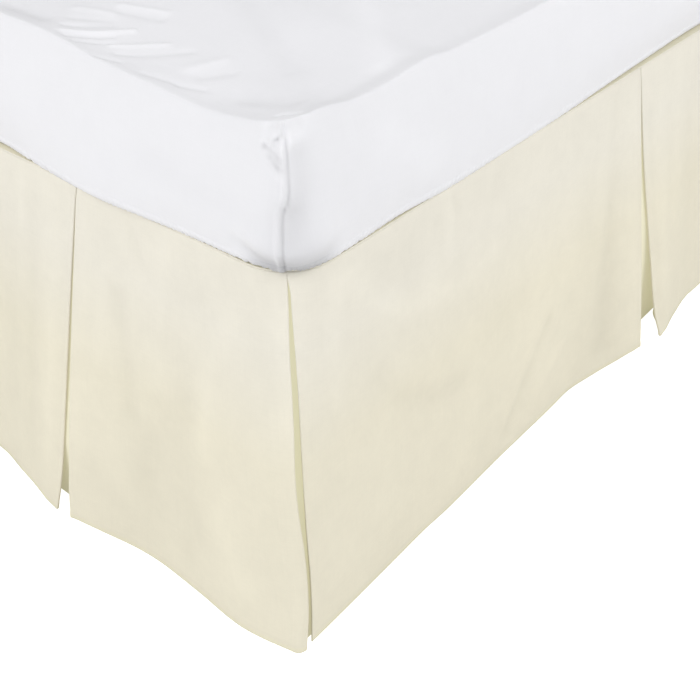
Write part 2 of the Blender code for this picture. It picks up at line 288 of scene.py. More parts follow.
# %% [markdown]
# ## Uneven tone
# A washed and pressed cloth is a touch lighter here and darker there. One noise in the piece's own
# space gives that. Its patches are a few centimetres across, and its high detail adds press marks.

# %% A group for the uneven tone
def make_mottle():
    group, given, gives = new_group("uneven tone", {"Patch size": 0.12}, ("Shade",))
    where = node(group, "ShaderNodeTexCoord", out=3)
    rate = calc(group, "DIVIDE", 1.0, given["Patch size"])
    blotches = node(group, "ShaderNodeTexNoise", where, None, rate, 6.0, 0.8, noise_dimensions="3D")
    group.links.new(blotches, gives["Shade"])
    return group


mottle = make_mottle()
print("group:", mottle.name)

# %% [markdown]
# ## A row of stitches
# Every drop has a narrow hem, turned up and sewn with one row of stitches. The row is a mask: close to
# a set height above the hem, and on for three quarters of each stitch's length. Round it the thread
# draws the cloth into a shallow groove.

# %% A group for a row of stitches
def make_stitches():
    group, given, gives = new_group(
        "row of stitches",
        {"Row height": 0.0075, "Stitch length": 0.0028, "Thread width": 0.0004, "Groove width": 0.0014},
        ("Thread", "Groove"),
    )
    along, up = cloth_place(group)
    off_row = calc(group, "ABSOLUTE", calc(group, "SUBTRACT", up, given["Row height"]))
    in_row = calc(group, "LESS_THAN", off_row, given["Thread width"])
    step = calc(group, "FRACT", calc(group, "DIVIDE", along, given["Stitch length"]))
    group.links.new(calc(group, "MULTIPLY", in_row, calc(group, "LESS_THAN", step, 0.75)), gives["Thread"])
    reach = calc(group, "DIVIDE", off_row, given["Groove width"])
    squared = calc(group, "MULTIPLY", reach, reach)
    fall_off = calc(group, "POWER", math.e, calc(group, "MULTIPLY", squared, -1.0))
    group.links.new(fall_off, gives["Groove"])
    return group


stitches = make_stitches()
print("group:", stitches.name)

# %% [markdown]
# ## Cotton
# One recipe makes every cloth, the base's ticking too. The base colour is shaded by the slow tone, the
# slubs, the weave and a relief mark. The relief mark is painted shade and painted highlight: it makes
# ridges paler and hollows darker, as the light would. The slubs, the weave and the stitches also feed a
# bump, and sheen stands for the fine fuzz on the threads. Numbers that are the same all over, such as
# the sheen, are set on the shader itself.
#
# The cream cloth's colour also changes with height. Painted light makes it paler and whiter towards its
# top, and it is a little darker and yellower along the lowest few millimetres of its hem. Thin cream cloth
# also lets some light through, which shows where a pleat shuts the rest out. Tracing that light would
# take too long, so a mark on the pleats' inner cloth paints shade on it and adds a little warm glow.

# %% Make a cotton
Cotton = namedtuple("Cotton", "name colour tone slub weave threads bump folds sheen hem")
# The folds column is how strongly the relief mark paints shade and highlight into the colour.
CREAM = Cotton(
    "cream_cotton_cloth", (0.738, 0.696, 0.565), 0.15, 0.05, 0.03, 2400.0, 0.00007, 16.0, 0.10, True
)
WHITE = Cotton(
    "white_cotton_cloth", (0.765, 0.765, 0.788), 0.05, 0.03, 0.02, 3000.0, 0.00005, 20.0, 0.10, False
)
PATCH_SIZE = 0.06
SLUB_HEIGHT = 0.8           # heights are shares of the weave's
STITCH_HEIGHT = 1.5
GROOVE_DEPTH = 1.0
# Painted shade in the groove round the stitches.
GROOVE_SHADE = -0.015
BUMP_STRENGTH = 0.6
COTTON_ROUGHNESS = 0.82
COTTON_SPECULAR = 0.25
SHEEN_ROUGHNESS = 0.5
# Painted light inside the pleats: a warm glow stands in for light that comes through the thin cloth, and
# painted shade darkens the cloth there.
THROUGH_COLOUR = (1.0, 0.97, 0.67)
THROUGH_STRENGTH = 0.34
THROUGH_AT_HEM = 0.55
INNER_SHADE = -0.36
Tint = namedtuple("Tint", "none full colour")     # heights over the hem where it starts and is full
# Painted light: paler and whiter towards the top of the drops. The hem's tint is darker and yellower at its
# very edge.
PAINTED_TOP_LIGHT = Tint(0.200, 0.320, (1.008, 1.025, 1.105))
HEM_TINT = Tint(0.0065, 0.0035, (0.980, 0.982, 0.930))


def centred(tree, value, amount):
    """A shade that runs from 1 - amount / 2 to 1 + amount / 2."""
    return calc(tree, "MULTIPLY_ADD", value, amount, 1.0 - amount / 2)


def tinted(tree, colour, tint):
    """The colour times a tint that comes in between two heights over the hem."""
    up = cloth_place(tree)[1]
    share = node(tree, "ShaderNodeMapRange", up, tint.none, tint.full, 0.0, 1.0)
    shift = node(tree, "ShaderNodeVectorMath", tuple(part - 1 for part in tint.colour), operation="SCALE")
    tree.links.new(share, shift.node.inputs["Scale"])
    factor = node(tree, "ShaderNodeVectorMath", shift, (1, 1, 1), operation="ADD")
    return node(tree, "ShaderNodeVectorMath", colour, factor, operation="MULTIPLY")


def make_cotton(cotton):
    finish = bpy.data.materials.new(cotton.name)
    finish.use_nodes = True
    tree = finish.node_tree
    shader = tree.nodes["Principled BSDF"]
    patches = use_group(tree, mottle, Patch_size=PATCH_SIZE)["Shade"]
    streaks = use_group(tree, slubs)["Shade"]
    threads = use_group(tree, weave, Threads_per_metre=cotton.threads)["Height"]
    shade = calc(tree, "MULTIPLY", centred(tree, patches, cotton.tone), centred(tree, streaks, cotton.slub))
    shade = calc(tree, "MULTIPLY", shade, centred(tree, threads, cotton.weave))
    # Painted shade and highlight: the relief mark makes ridges paler and hollows darker.
    relief = node(tree, "ShaderNodeAttribute", out=2, attribute_name="relief")
    shade = calc(tree, "MULTIPLY", shade, calc(tree, "MULTIPLY_ADD", relief, cotton.folds, 1.0))
    height = calc(tree, "MULTIPLY_ADD", streaks, SLUB_HEIGHT, threads)
    if cotton.hem:
        sewn = use_group(tree, stitches)
        # The inner mark gives the pleats' inner cloth painted shade here and a painted glow further down.
        inner = node(tree, "ShaderNodeAttribute", out=2, attribute_name="inner")
        for mark, amount in ((sewn["Groove"], GROOVE_SHADE), (inner, INNER_SHADE)):
            shade = calc(tree, "MULTIPLY", shade, calc(tree, "MULTIPLY_ADD", mark, amount, 1.0))
        height = calc(tree, "ADD", height, calc(tree, "MULTIPLY", sewn["Thread"], STITCH_HEIGHT))
        height = calc(tree, "SUBTRACT", height, calc(tree, "MULTIPLY", sewn["Groove"], GROOVE_DEPTH))
    colour = node(tree, "ShaderNodeVectorMath", cotton.colour, None, None, operation="SCALE")
    tree.links.new(shade, colour.node.inputs["Scale"])
    if cotton.hem:
        # Painted light paler towards the top, then darker and yellower at the hem's edge.
        colour = tinted(tree, tinted(tree, colour, PAINTED_TOP_LIGHT), HEM_TINT)
    tree.links.new(colour, shader.inputs["Base Color"])
    bump = node(tree, "ShaderNodeBump", BUMP_STRENGTH, cotton.bump)
    tree.links.new(height, bump.node.inputs["Height"])
    tree.links.new(bump, shader.inputs["Normal"])
    shader.inputs["Roughness"].default_value = COTTON_ROUGHNESS
    shader.inputs["Specular IOR Level"].default_value = COTTON_SPECULAR
    shader.inputs["Sheen Weight"].default_value = cotton.sheen
    shader.inputs["Sheen Roughness"].default_value = SHEEN_ROUGHNESS
    # A painted glow on the pleats' inner cloth stands in for light through the thin cloth.
    if cotton.hem:
        through_cloth = node(tree, "ShaderNodeVectorMath", THROUGH_COLOUR, None, None, operation="SCALE")
        tree.links.new(inner, through_cloth.node.inputs["Scale"])
        tree.links.new(through_cloth, shader.inputs["Emission Color"])
        shader.inputs["Emission Strength"].default_value = THROUGH_STRENGTH
    return finish


cream_cotton = make_cotton(CREAM)
white_cotton = make_cotton(WHITE)
print("cottons:", cream_cotton.name, "and", white_cotton.name)

# %% [markdown]
# ## Soft curves through a short table
# A hem does not hang straight: it leans out here and in there. A short table gives its distance out
# at a few places, and a cubic curve runs smoothly through them. All the functions take whole arrays,
# so a drop's thousands of points are worked out at once.

# %% Curves and easings
def mix(start, end, share):
    return start + (end - start) * share


def smooth(share):
    return share * share * (3 - 2 * share)


def through(rows, along):
    """A smooth curve through the rows' second column, read at places in their first."""
    places = np.array([row[0] for row in rows])
    values = np.array([row[1] for row in rows])
    last = len(rows) - 1
    along = np.clip(along, places[0], places[-1])
    i = np.clip(np.searchsorted(places, along, side="right") - 1, 0, last - 1)
    before, after = np.maximum(np.arange(last + 1) - 1, 0), np.minimum(np.arange(last + 1) + 1, last)
    slopes = (values[after] - values[before]) / (places[after] - places[before])
    span = places[i + 1] - places[i]
    rise = values[i + 1] - values[i]
    t = (along - places[i]) / span
    bend = (1 - t) * (slopes[i] * span - rise) + t * (rise - slopes[i + 1] * span)
    return values[i] + t * rise + t * (1 - t) * bend


print("halfway between 0, 1 and 0:", through(((0, 0), (1, 1), (2, 0)), np.array([0.5, 1.5])))

# %% [markdown]
# ## The drops' cloth in numbers
# The layers of a pleat lie a set distance apart, out from the base. Most of these sizes are the packed
# solids' own. How far the hem leans out follows the real hem's line, so nearly all of the fine cloth
# hangs within a few millimetres of its solids.

# %% Sizes of the cloth and its layers
CLOTH = 0.0015              # the solids' thickness
THREAD_CLOTH = 0.0007       # the fine cloth's
LAYER = 0.0025
EDGE_CLEARANCE = 0.002
PLEAT_DEPTH = 0.075
DEEP_PLEAT = 0.095
PLEAT_CLOSED = 0.05
BASE_CORNER = 0.050
CORNER_AT_HEM = 0.010
INNER_LAYER = -BASE_INSET + EDGE_CLEARANCE + CLOTH / 2
OUTER_LAYER = INNER_LAYER + 2 * LAYER
CORNER_AT_TOP = BASE_CORNER + BASE_INSET + OUTER_LAYER

Lean = namedtuple("Lean", "along out")
FOOT_LEAN = (
    Lean(-0.060, 0.0705), Lean(0.015, 0.0840), Lean(0.090, 0.0795), Lean(0.158, 0.0770),
    Lean(0.200, 0.0812), Lean(0.285, 0.0943), Lean(0.315, 0.0970), Lean(0.350, 0.0912),
    Lean(0.400, 0.0822), Lean(0.460, 0.0727), Lean(0.540, 0.0800), Lean(0.603, 0.0920),
    Lean(0.700, 0.0780), Lean(0.800, 0.0740), Lean(0.880, 0.0810), Lean(0.960, 0.0700),
)
RIGHT_LEAN = (
    Lean(-0.080, 0.0530), Lean(0.000, 0.0505), Lean(0.100, 0.0464), Lean(0.150, 0.0442),
    Lean(0.200, 0.0442), Lean(0.300, 0.0402), Lean(0.440, 0.0364), Lean(0.476, 0.0352),
    Lean(0.505, 0.0385), Lean(0.590, 0.0540), Lean(0.633, 0.0610), Lean(0.671, 0.0700),
    Lean(0.729, 0.0600), Lean(0.783, 0.0517), Lean(0.825, 0.0516), Lean(0.900, 0.0500),
    Lean(1.080, 0.0400), Lean(1.200, 0.0480), Lean(1.270, 0.0630), Lean(1.380, 0.0470),
    Lean(1.650, 0.0390), Lean(1.900, 0.0460),
)
LEFT_LEAN = (
    Lean(-0.080, 0.056), Lean(0.040, 0.052), Lean(0.200, 0.042), Lean(0.420, 0.040),
    Lean(0.560, 0.050), Lean(0.650, 0.066), Lean(0.760, 0.052), Lean(0.980, 0.041),
    Lean(1.170, 0.047), Lean(1.270, 0.062), Lean(1.400, 0.045), Lean(1.700, 0.042),
    Lean(1.900, 0.044),
)
print(f"layers from {INNER_LAYER:.5f} to {OUTER_LAYER:.5f} m out")

# %% [markdown]
# ## Folds and pleats
# A fold is a soft ridge or trough that runs down a panel, fullest a little below the middle of its
# fall. A pleat is shut at the top and opens downwards, and its underlay hangs further in than the
# panels. The first pleat of the right side reaches further behind its panels than the others.

# %% Folds and pleats of each drop
Fold = namedtuple("Fold", "along width depth at_top at_hem")
FOLD_FULLEST = 0.6          # the share of the fall where a fold has its whole depth
FOOT_FOLDS = (
    Fold(0.288, 0.014, 0.0016, 0.3, 0.4), Fold(0.338, 0.014, 0.0022, 0.4, 0.4),
    Fold(0.378, 0.014, -0.0020, 0.5, 0.2), Fold(0.425, 0.026, -0.0024, 0.1, 0.3),
    Fold(0.150, 0.045, -0.0020, 0.0, 0.2), Fold(0.505, 0.025, 0.0040, 0.1, 0.6),
    Fold(0.760, 0.040, -0.0040, 0.0, 1.0),
)
RIGHT_FOLDS = (
    Fold(0.410, 0.060, 0.0020, 0.0, 0.2), Fold(0.616, 0.010, 0.0016, 0.4, 0.6),
    Fold(0.690, 0.016, 0.0014, 0.3, 0.3), Fold(0.780, 0.030, -0.0018, 0.2, 0.2),
    Fold(1.180, 0.035, -0.0050, 0.2, 1.0), Fold(1.520, 0.060, 0.0050, 0.0, 1.0),
)
LEFT_FOLDS = (
    Fold(0.300, 0.055, 0.0040, 0.0, 1.0), Fold(0.570, 0.030, -0.0050, 0.2, 1.0),
    Fold(0.850, 0.045, 0.0040, 0.1, 1.0), Fold(1.370, 0.030, -0.0050, 0.2, 1.0),
    Fold(1.600, 0.060, 0.0040, 0.0, 1.0),
)
Slit = namedtuple("Slit", "fall near far")
FIRST_FOOT_SLIT = (
    Slit(0.00, -0.0018, 0.0018), Slit(0.06, -0.0022, 0.0021), Slit(0.20, -0.0030, 0.0028),
    Slit(0.40, -0.0043, 0.0028),
    Slit(0.60, -0.0071, 0.0026), Slit(0.80, -0.0102, 0.0028), Slit(0.90, -0.0118, 0.0042),
    Slit(1.00, -0.0163, 0.0085),
)
FIRST_RIGHT_SLIT = (
    Slit(0.00, -0.0018, 0.0018), Slit(0.10, -0.0018, 0.0030), Slit(0.30, -0.0015, 0.0067),
    Slit(0.50, -0.0023, 0.0130), Slit(0.70, -0.0027, 0.0191), Slit(0.90, -0.0046, 0.0257),
    Slit(1.00, -0.0059, 0.0358),
)
EVEN_SLIT = (
    Slit(0.00, -0.0026, 0.0026), Slit(0.30, -0.0034, 0.0033), Slit(0.60, -0.0066, 0.0058),
    Slit(1.00, -0.0138, 0.0122),
)
SIDE_SLIT = (
    Slit(0.00, -0.0027, 0.0026), Slit(0.25, -0.0038, 0.0030), Slit(0.60, -0.0096, 0.0047),
    Slit(1.00, -0.0205, 0.0090),
)
# lit is how strong the painted glow and painted shade are inside each pleat.
Pleat = namedtuple("Pleat", "along slit back depth lit")
FOOT_PLEATS = (
    Pleat(0.3043, FIRST_FOOT_SLIT, 0.070, PLEAT_DEPTH, 1.2),
    Pleat(0.603, EVEN_SLIT, 0.066, PLEAT_DEPTH, 1.0),
)
RIGHT_PLEATS = (
    Pleat(0.6351, FIRST_RIGHT_SLIT, 0.028, DEEP_PLEAT, 1.3),
    Pleat(1.268, EVEN_SLIT, 0.032, PLEAT_DEPTH, 1.0),
)
LEFT_PLEATS = (
    Pleat(0.636, SIDE_SLIT, 0.030, PLEAT_DEPTH, 1.0), Pleat(1.270, EVEN_SLIT, 0.032, PLEAT_DEPTH, 1.0),
)
print("pleats:", len(FOOT_PLEATS), "at the foot,", len(RIGHT_PLEATS), "along each side")

# %% [markdown]
# ## Creases
# On top of the folds lie small creases: drag lines that fan out from where the mattress pins the
# cloth, and press marks. Each is a soft valley or ridge along a short line, given by its two ends
# (along the drop, and down from its top).

# %% Creases of each drop
Crease = namedtuple("Crease", "along down to_along to_down width depth")
FOOT_CREASES = (
    Crease(0.223, 0.010, 0.204, 0.042, 0.006, -0.0014), Crease(0.234, 0.095, 0.207, 0.225, 0.013, -0.0028),
    Crease(0.186, 0.255, 0.178, 0.330, 0.026, -0.0024), Crease(0.262, 0.320, 0.200, 0.370, 0.026, -0.0018),
    Crease(0.175, 0.035, 0.168, 0.165, 0.024, 0.0014), Crease(0.070, 0.050, 0.092, 0.115, 0.014, 0.0018),
    Crease(0.098, 0.142, 0.095, 0.216, 0.014, 0.0026), Crease(0.018, 0.040, -0.009, 0.154, 0.011, 0.0016),
    Crease(0.105, 0.300, 0.108, 0.352, 0.017, -0.0020), Crease(0.060, 0.285, 0.020, 0.340, 0.022, 0.0018),
    Crease(0.130, 0.010, 0.112, 0.080, 0.008, -0.0008), Crease(0.132, 0.170, 0.120, 0.290, 0.014, -0.0010),
    Crease(0.252, 0.060, 0.262, 0.240, 0.012, 0.0010), Crease(0.395, 0.010, 0.398, 0.070, 0.007, 0.0014),
    Crease(0.480, 0.100, 0.520, 0.330, 0.012, -0.0012), Crease(0.700, 0.020, 0.660, 0.240, 0.012, 0.0012),
    Crease(0.800, 0.060, 0.830, 0.350, 0.014, -0.0013),
)
RIGHT_CREASES = (
    Crease(0.239, 0.006, 0.251, 0.031, 0.006, -0.0018), Crease(0.235, 0.013, 0.229, 0.079, 0.007, 0.0012),
    Crease(0.065, 0.014, 0.090, 0.048, 0.016, 0.0018), Crease(0.112, 0.074, 0.150, 0.098, 0.016, 0.0021),
    Crease(0.178, 0.107, 0.225, 0.114, 0.016, 0.0021), Crease(0.252, 0.114, 0.307, 0.108, 0.014, 0.0015),
    Crease(0.128, 0.043, 0.164, 0.071, 0.020, -0.0017), Crease(0.102, 0.150, 0.114, 0.176, 0.012, -0.0016),
    Crease(0.130, 0.196, 0.181, 0.225, 0.016, -0.0023), Crease(0.206, 0.232, 0.239, 0.236, 0.014, -0.0020),
    Crease(0.426, 0.255, 0.329, 0.364, 0.009, -0.0028), Crease(0.457, 0.301, 0.396, 0.345, 0.012, 0.0014),
    Crease(0.056, 0.020, 0.034, 0.141, 0.012, 0.0016), Crease(0.108, 0.352, 0.060, 0.360, 0.016, -0.0008),
    Crease(0.575, 0.020, 0.573, 0.100, 0.009, -0.0016), Crease(0.569, 0.125, 0.563, 0.220, 0.014, -0.0034),
    Crease(0.558, 0.252, 0.550, 0.355, 0.023, -0.0048), Crease(0.515, 0.300, 0.497, 0.360, 0.020, -0.0010),
    Crease(0.330, 0.010, 0.300, 0.080, 0.012, -0.0010), Crease(0.260, 0.270, 0.245, 0.350, 0.014, 0.0010),
    Crease(0.470, 0.060, 0.480, 0.220, 0.016, 0.0009), Crease(0.660, 0.060, 0.668, 0.330, 0.008, -0.0012),
    Crease(0.740, 0.030, 0.735, 0.250, 0.012, 0.0010), Crease(0.900, 0.040, 0.930, 0.330, 0.014, -0.0012),
    Crease(1.050, 0.020, 1.010, 0.280, 0.014, 0.0012), Crease(1.400, 0.030, 1.430, 0.350, 0.012, -0.0013),
    Crease(1.700, 0.020, 1.680, 0.300, 0.016, 0.0014),
)
LEFT_CREASES = (
    Crease(0.120, 0.010, 0.150, 0.220, 0.012, -0.0010), Crease(0.240, 0.080, 0.220, 0.392, 0.014, 0.0010),
    Crease(0.420, 0.020, 0.460, 0.260, 0.012, -0.0009), Crease(0.760, 0.020, 0.740, 0.320, 0.012, 0.0010),
    Crease(0.980, 0.040, 1.020, 0.360, 0.015, -0.0012), Crease(1.480, 0.020, 1.470, 0.300, 0.012, 0.0010),
    Crease(1.780, 0.010, 1.800, 0.280, 0.014, -0.0010),
)
print("creases:", len(FOOT_CREASES), len(RIGHT_CREASES), len(LEFT_CREASES))


# %% Depth of all creases at a place
def creased(creases, along, down):
    """How far out the creases push the cloth, at places along it and down from its top."""
    total = np.zeros(np.broadcast(along, down).shape)
    for crease in creases:
        reach = np.array((crease.to_along - crease.along, crease.to_down - crease.down))
        from_start = (along - crease.along, down - crease.down)
        share = (from_start[0] * reach[0] + from_start[1] * reach[1]) / (reach @ reach)
        share = np.clip(share, 0, 1)
        off_along = from_start[0] - share * reach[0]
        off_down = from_start[1] - share * reach[1]
        total = total + crease.depth * np.exp(-(off_along ** 2 + off_down ** 2) / crease.width ** 2)
    return total


print(f"deepest crease: {min(c.depth for c in FOOT_CREASES) * 1000:.1f} mm")

# %% [markdown]
# ## One drop as a table of its parts
# A drop knows the side of the bed that it hangs on, how it leans, its folds, creases and pleats, and
# what its two ends do. At a foot corner an end runs round the corner towards the next drop.

# %% The three drops
End = namedtuple("End", "neighbour edge")
FOOT_END_RIGHT = End(0.055, (
    (0.00, 0.0182), (0.10, 0.0103), (0.20, 0.0027), (0.30, -0.0063), (0.40, -0.0147), (0.50, -0.0222),
    (0.60, -0.0316), (0.70, -0.0428), (0.80, -0.0522), (0.90, -0.0590), (1.00, -0.0615),
))
RIGHT_END = End(0.076, (
    (0.00, 0.0102), (0.10, 0.0051), (0.20, -0.0003), (0.30, -0.0065), (0.50, -0.0204), (0.60, -0.0272),
    (0.70, -0.0334), (0.80, -0.0380), (0.90, -0.0438), (1.00, -0.0515),
))
FOOT_END_LEFT = End(0.056, (
    (0.00, 0.0156), (0.20, -0.0005), (0.40, -0.0170), (0.60, -0.0335), (0.80, -0.0520), (1.00, -0.0620),
))
LEFT_END = End(0.073, (
    (0.00, 0.0150), (0.20, 0.0025), (0.50, -0.0160), (0.80, -0.0350), (1.00, -0.0480),
))
HEAD_END = End(None, ((0, 0.0), (1, 0.0)))

Side = namedtuple("Side", "corner onward outward length")
FOOT_SIDE = Side((HALF_WIDTH, FOOT_EDGE), (-1, 0), (0, -1), 2 * HALF_WIDTH)
RIGHT_SIDE = Side((HALF_WIDTH, FOOT_EDGE), (0, 1), (1, 0), 2 * HALF_LENGTH)
LEFT_SIDE = Side((-HALF_WIDTH, FOOT_EDGE), (0, 1), (-1, 0), 2 * HALF_LENGTH)

Drop = namedtuple("Drop", "name side lean folds creases pleats near far")
DROPS = (
    Drop("foot_drop", FOOT_SIDE, FOOT_LEAN, FOOT_FOLDS, FOOT_CREASES, FOOT_PLEATS,
         FOOT_END_RIGHT, FOOT_END_LEFT),
    Drop("side_drop_right", RIGHT_SIDE, RIGHT_LEAN, RIGHT_FOLDS, RIGHT_CREASES, RIGHT_PLEATS,
         RIGHT_END, HEAD_END),
    Drop("side_drop_left", LEFT_SIDE, LEFT_LEAN, LEFT_FOLDS, LEFT_CREASES, LEFT_PLEATS,
         LEFT_END, HEAD_END),
)
print("drops:", ", ".join(drop.name for drop in DROPS))

# %% [markdown]
# ## Where a drop's cloth hangs
# A drop is worked out row by row, from its top to its hem. In each row the cloth runs along a line in
# plan: a panel, round the panel's edge and back behind it, across the underlay, and out again. The
# edges of a pleat are pressed, so each panel stands a little proud along its fold.

# %% Panels and their ends
PRESSED_LIP = 0.0007
LIP_WIDTH = 0.004


def pleat_edges(pleat, fall):
    """The ends of the two panels that meet at a pleat."""
    near = through([(row.fall, row.near) for row in pleat.slit], fall)
    far = through([(row.fall, row.far) for row in pleat.slit], fall)
    return pleat.along + near, pleat.along + far


def folded(drop, along, fall):
    """How far out the folds and creases push a panel's cloth."""
    total = creased(drop.creases, along, fall * DROP_LENGTH)
    for fold in drop.folds:
        bell = np.exp(-((along - fold.along) / fold.width) ** 2)
        strength = through(((0, fold.at_top), (FOLD_FULLEST, 1), (1, fold.at_hem)), fall)
        total = total + fold.depth * bell * strength
    return total * np.minimum(fall / PLEAT_CLOSED, 1)


def panel_out(drop, along, fall):
    """How far out a panel's cloth hangs, at places along its drop and shares of its fall."""
    out = mix(OUTER_LAYER, through(drop.lean, along), fall) + folded(drop, along, fall)
    for pleat in drop.pleats:
        for edge in pleat_edges(pleat, fall):
            lip = PRESSED_LIP * np.exp(-((along - edge) / LIP_WIDTH) ** 2)
            out = out + lip * np.minimum(fall / PLEAT_CLOSED, 1)
    return out


def corner_curve(end, fall):
    """Where the curve round a corner starts, from that corner, and its radius."""
    if end.neighbour is None:
        return 0 * fall, 0 * fall
    radius = mix(CORNER_AT_TOP, CORNER_AT_HEM, fall)
    return radius - mix(OUTER_LAYER, end.neighbour, fall), radius


def bend(past, radius):
    """Steps along and inward for a run of cloth that has gone past the start of a corner's curve."""
    radius = np.maximum(radius, 1e-6)
    angle = np.clip(past / radius, 0, math.pi / 2)
    tail = np.maximum(past - radius * math.pi / 2, 0)
    return radius * np.sin(angle), radius * (1 - np.cos(angle)) + tail


def panel_points(drop, run, fall):
    """Places along and out on the panels' line. Past a corner's curve, run is measured round it."""
    near_start, near_radius = corner_curve(drop.near, fall)
    far_start, far_radius = corner_curve(drop.far, fall)
    far_edge = drop.side.length - far_start
    along = np.clip(run, near_start, far_edge)
    out = panel_out(drop, along, fall)
    if drop.near.neighbour is not None:
        onward, inward = bend(near_start - run, near_radius)
        along = along - np.where(run < near_start, onward, 0)
        out = out - np.where(run < near_start, inward, 0)
    if drop.far.neighbour is not None:
        onward, inward = bend(run - far_edge, far_radius)
        along = along + np.where(run > far_edge, onward, 0)
        out = out - np.where(run > far_edge, inward, 0)
    return along, out


print("panel rows are worked out in arrays")

# %% [markdown]
# A pleat's line turns round each panel's edge in a half circle, so that a fold looks soft and has the
# thickness of two layers, and runs back in an easy S to the underlay.

# %% The line through a pleat
TURN_ANGLES = np.radians([60, 30, 0, -30, -60])
RETURN_SHARES = np.linspace(0, 1, 15)
UNDERLAY_SHARES = np.linspace(0, 1, 25)
UNDERLAY_BELLY = 0.002
UNDERLAY_FALL = 2.2


def underlay_out(drop, pleat, along, fall):
    """How far out a pleat's underlay hangs: close behind the panels, and further in at the hem."""
    behind_panels = panel_out(drop, along, fall) - 2 * LAYER
    return mix(behind_panels, np.minimum(pleat.back, behind_panels), fall ** UNDERLAY_FALL)


def half_pleat(drop, pleat, edge, toward, fall):
    """Round one panel's edge, back behind it, and round to the underlay."""
    turn = LAYER / 2
    inner = pleat.along + toward * pleat.depth + 0 * edge
    back = underlay_out(drop, pleat, inner, fall)
    edge_out = panel_out(drop, edge, fall)
    turn_along = edge - toward * turn * np.cos(TURN_ANGLES)
    turn_out = edge_out - turn + turn * np.sin(TURN_ANGLES)
    return_along = mix(edge, inner, RETURN_SHARES)
    behind_panel = panel_out(drop, return_along, fall) - LAYER
    before_underlay = underlay_out(drop, pleat, return_along, fall) + LAYER
    return_out = mix(behind_panel, before_underlay, smooth(RETURN_SHARES))
    inner_along = inner + toward * turn * np.cos(TURN_ANGLES)
    inner_out = back + turn + turn * np.sin(TURN_ANGLES)
    return np.hstack([turn_along, return_along, inner_along]), np.hstack([turn_out, return_out, inner_out])


def pleat_line(drop, pleat, fall):
    """From one panel's edge to the next one's, through the underlay behind them."""
    edges = pleat_edges(pleat, fall)
    near = half_pleat(drop, pleat, edges[0], -1, fall)
    far = half_pleat(drop, pleat, edges[1], 1, fall)
    across = pleat.along + (2 * UNDERLAY_SHARES - 1) * pleat.depth + 0 * fall
    belly = UNDERLAY_BELLY * np.sin(math.pi * UNDERLAY_SHARES) * smooth(fall)
    back = underlay_out(drop, pleat, across, fall) + belly
    along = np.hstack([near[0], across, far[0][:, ::-1]])
    return along, np.hstack([near[1], back, far[1][:, ::-1]])


print("points across a pleat:", 2 * (2 * len(TURN_ANGLES) + len(RETURN_SHARES)) + len(UNDERLAY_SHARES))

# %% [markdown]
# The columns of a panel lie about 6 mm apart, and closer where it turns a corner, ends in a hem, or is
# folded at a pleat. They keep their count from row to row, so the rows join into a grid of quads.

# %% The whole line of a drop
COLUMN_STEP = 0.006
CORNER_STEPS = np.array([0, 0.0015, 0.004, 0.007, 0.0095, 0.011, 0.0125, 0.015, 0.018, 0.021, 0.024,
                         0.028, 0.032, 0.036, 0.041, 0.046, 0.051, 0.057, 0.063])
HEAD_STEPS = np.array([0, 0.0015, 0.004, 0.007, 0.0095, 0.011, 0.0125, 0.015, 0.019])
FOLD_STEPS = np.array([0, 0.0012, 0.0026, 0.0044, 0.007, 0.011])


def drop_runs(drop, fall):
    """Start and end of each panel along the drop, for each row of the fall."""
    marks = [through(drop.near.edge, fall)]
    for pleat in drop.pleats:
        marks += pleat_edges(pleat, fall)
    marks.append(drop.side.length - through(drop.far.edge, fall))
    return list(zip(marks[0::2], marks[1::2]))


def end_steps(end):
    return HEAD_STEPS if end.neighbour is None else CORNER_STEPS


def drop_line(drop, fall):
    """Along and out for each row and column of the cloth, and how far inside a pleat a column lies, which
    sets the painted glow and painted shade there.
    """
    along, out, inner = [], [], []
    runs = drop_runs(drop, fall)
    for index, (start, end) in enumerate(runs):
        first = end_steps(drop.near) if index == 0 else FOLD_STEPS
        last = end_steps(drop.far) if index == len(drop.pleats) else FOLD_STEPS
        low, high = start + first[-1], end - last[-1]
        count = max(round(float(high[0, 0] - low[0, 0]) / COLUMN_STEP), 2)
        middle = mix(low, high, np.arange(1, count) / count)
        run = np.hstack([start + first, middle, end - last[::-1]])
        points = panel_points(drop, run, fall)
        along.append(points[0])
        out.append(points[1])
        inner.append(np.zeros(points[0].shape[1]))
        if index < len(drop.pleats):
            points = pleat_line(drop, drop.pleats[index], fall)
            along.append(points[0])
            out.append(points[1])
            turn = np.zeros(len(TURN_ANGLES))
            back = np.ones(points[0].shape[1] - 2 * (len(turn) + len(RETURN_SHARES)))
            lit = drop.pleats[index].lit
            inner += [turn, lit * RETURN_SHARES, lit * back, lit * RETURN_SHARES[::-1], turn]
    return np.hstack(along), np.hstack(out), np.hstack(inner)


line = drop_line(DROPS[0], np.array([[0.0], [1.0]]))
print("columns across the foot drop:", line[0].shape[1])

# %% [markdown]
# ## From rows to cloth
# The rows become a grid of quads with a map of the flat cloth: metres along it, and metres up from the
# hem. A Solidify modifier gives the cloth its thickness. Along the hem and the side edges the cloth is
# turned under, so a vertex group makes it twice as thick there.

# %% Make cloth from a grid of points
HEM_WIDTH = 0.0075
HEM_SOFTNESS = 0.0022
ROW_STEP = 0.006
HEM_ROWS = np.array([0, 0.0012, 0.003, 0.005, 0.0062, 0.0070, 0.0078, 0.0088, 0.0102, 0.013, 0.017])
TOP_ROWS = np.array([0, 0.002, 0.005, 0.009, 0.014])


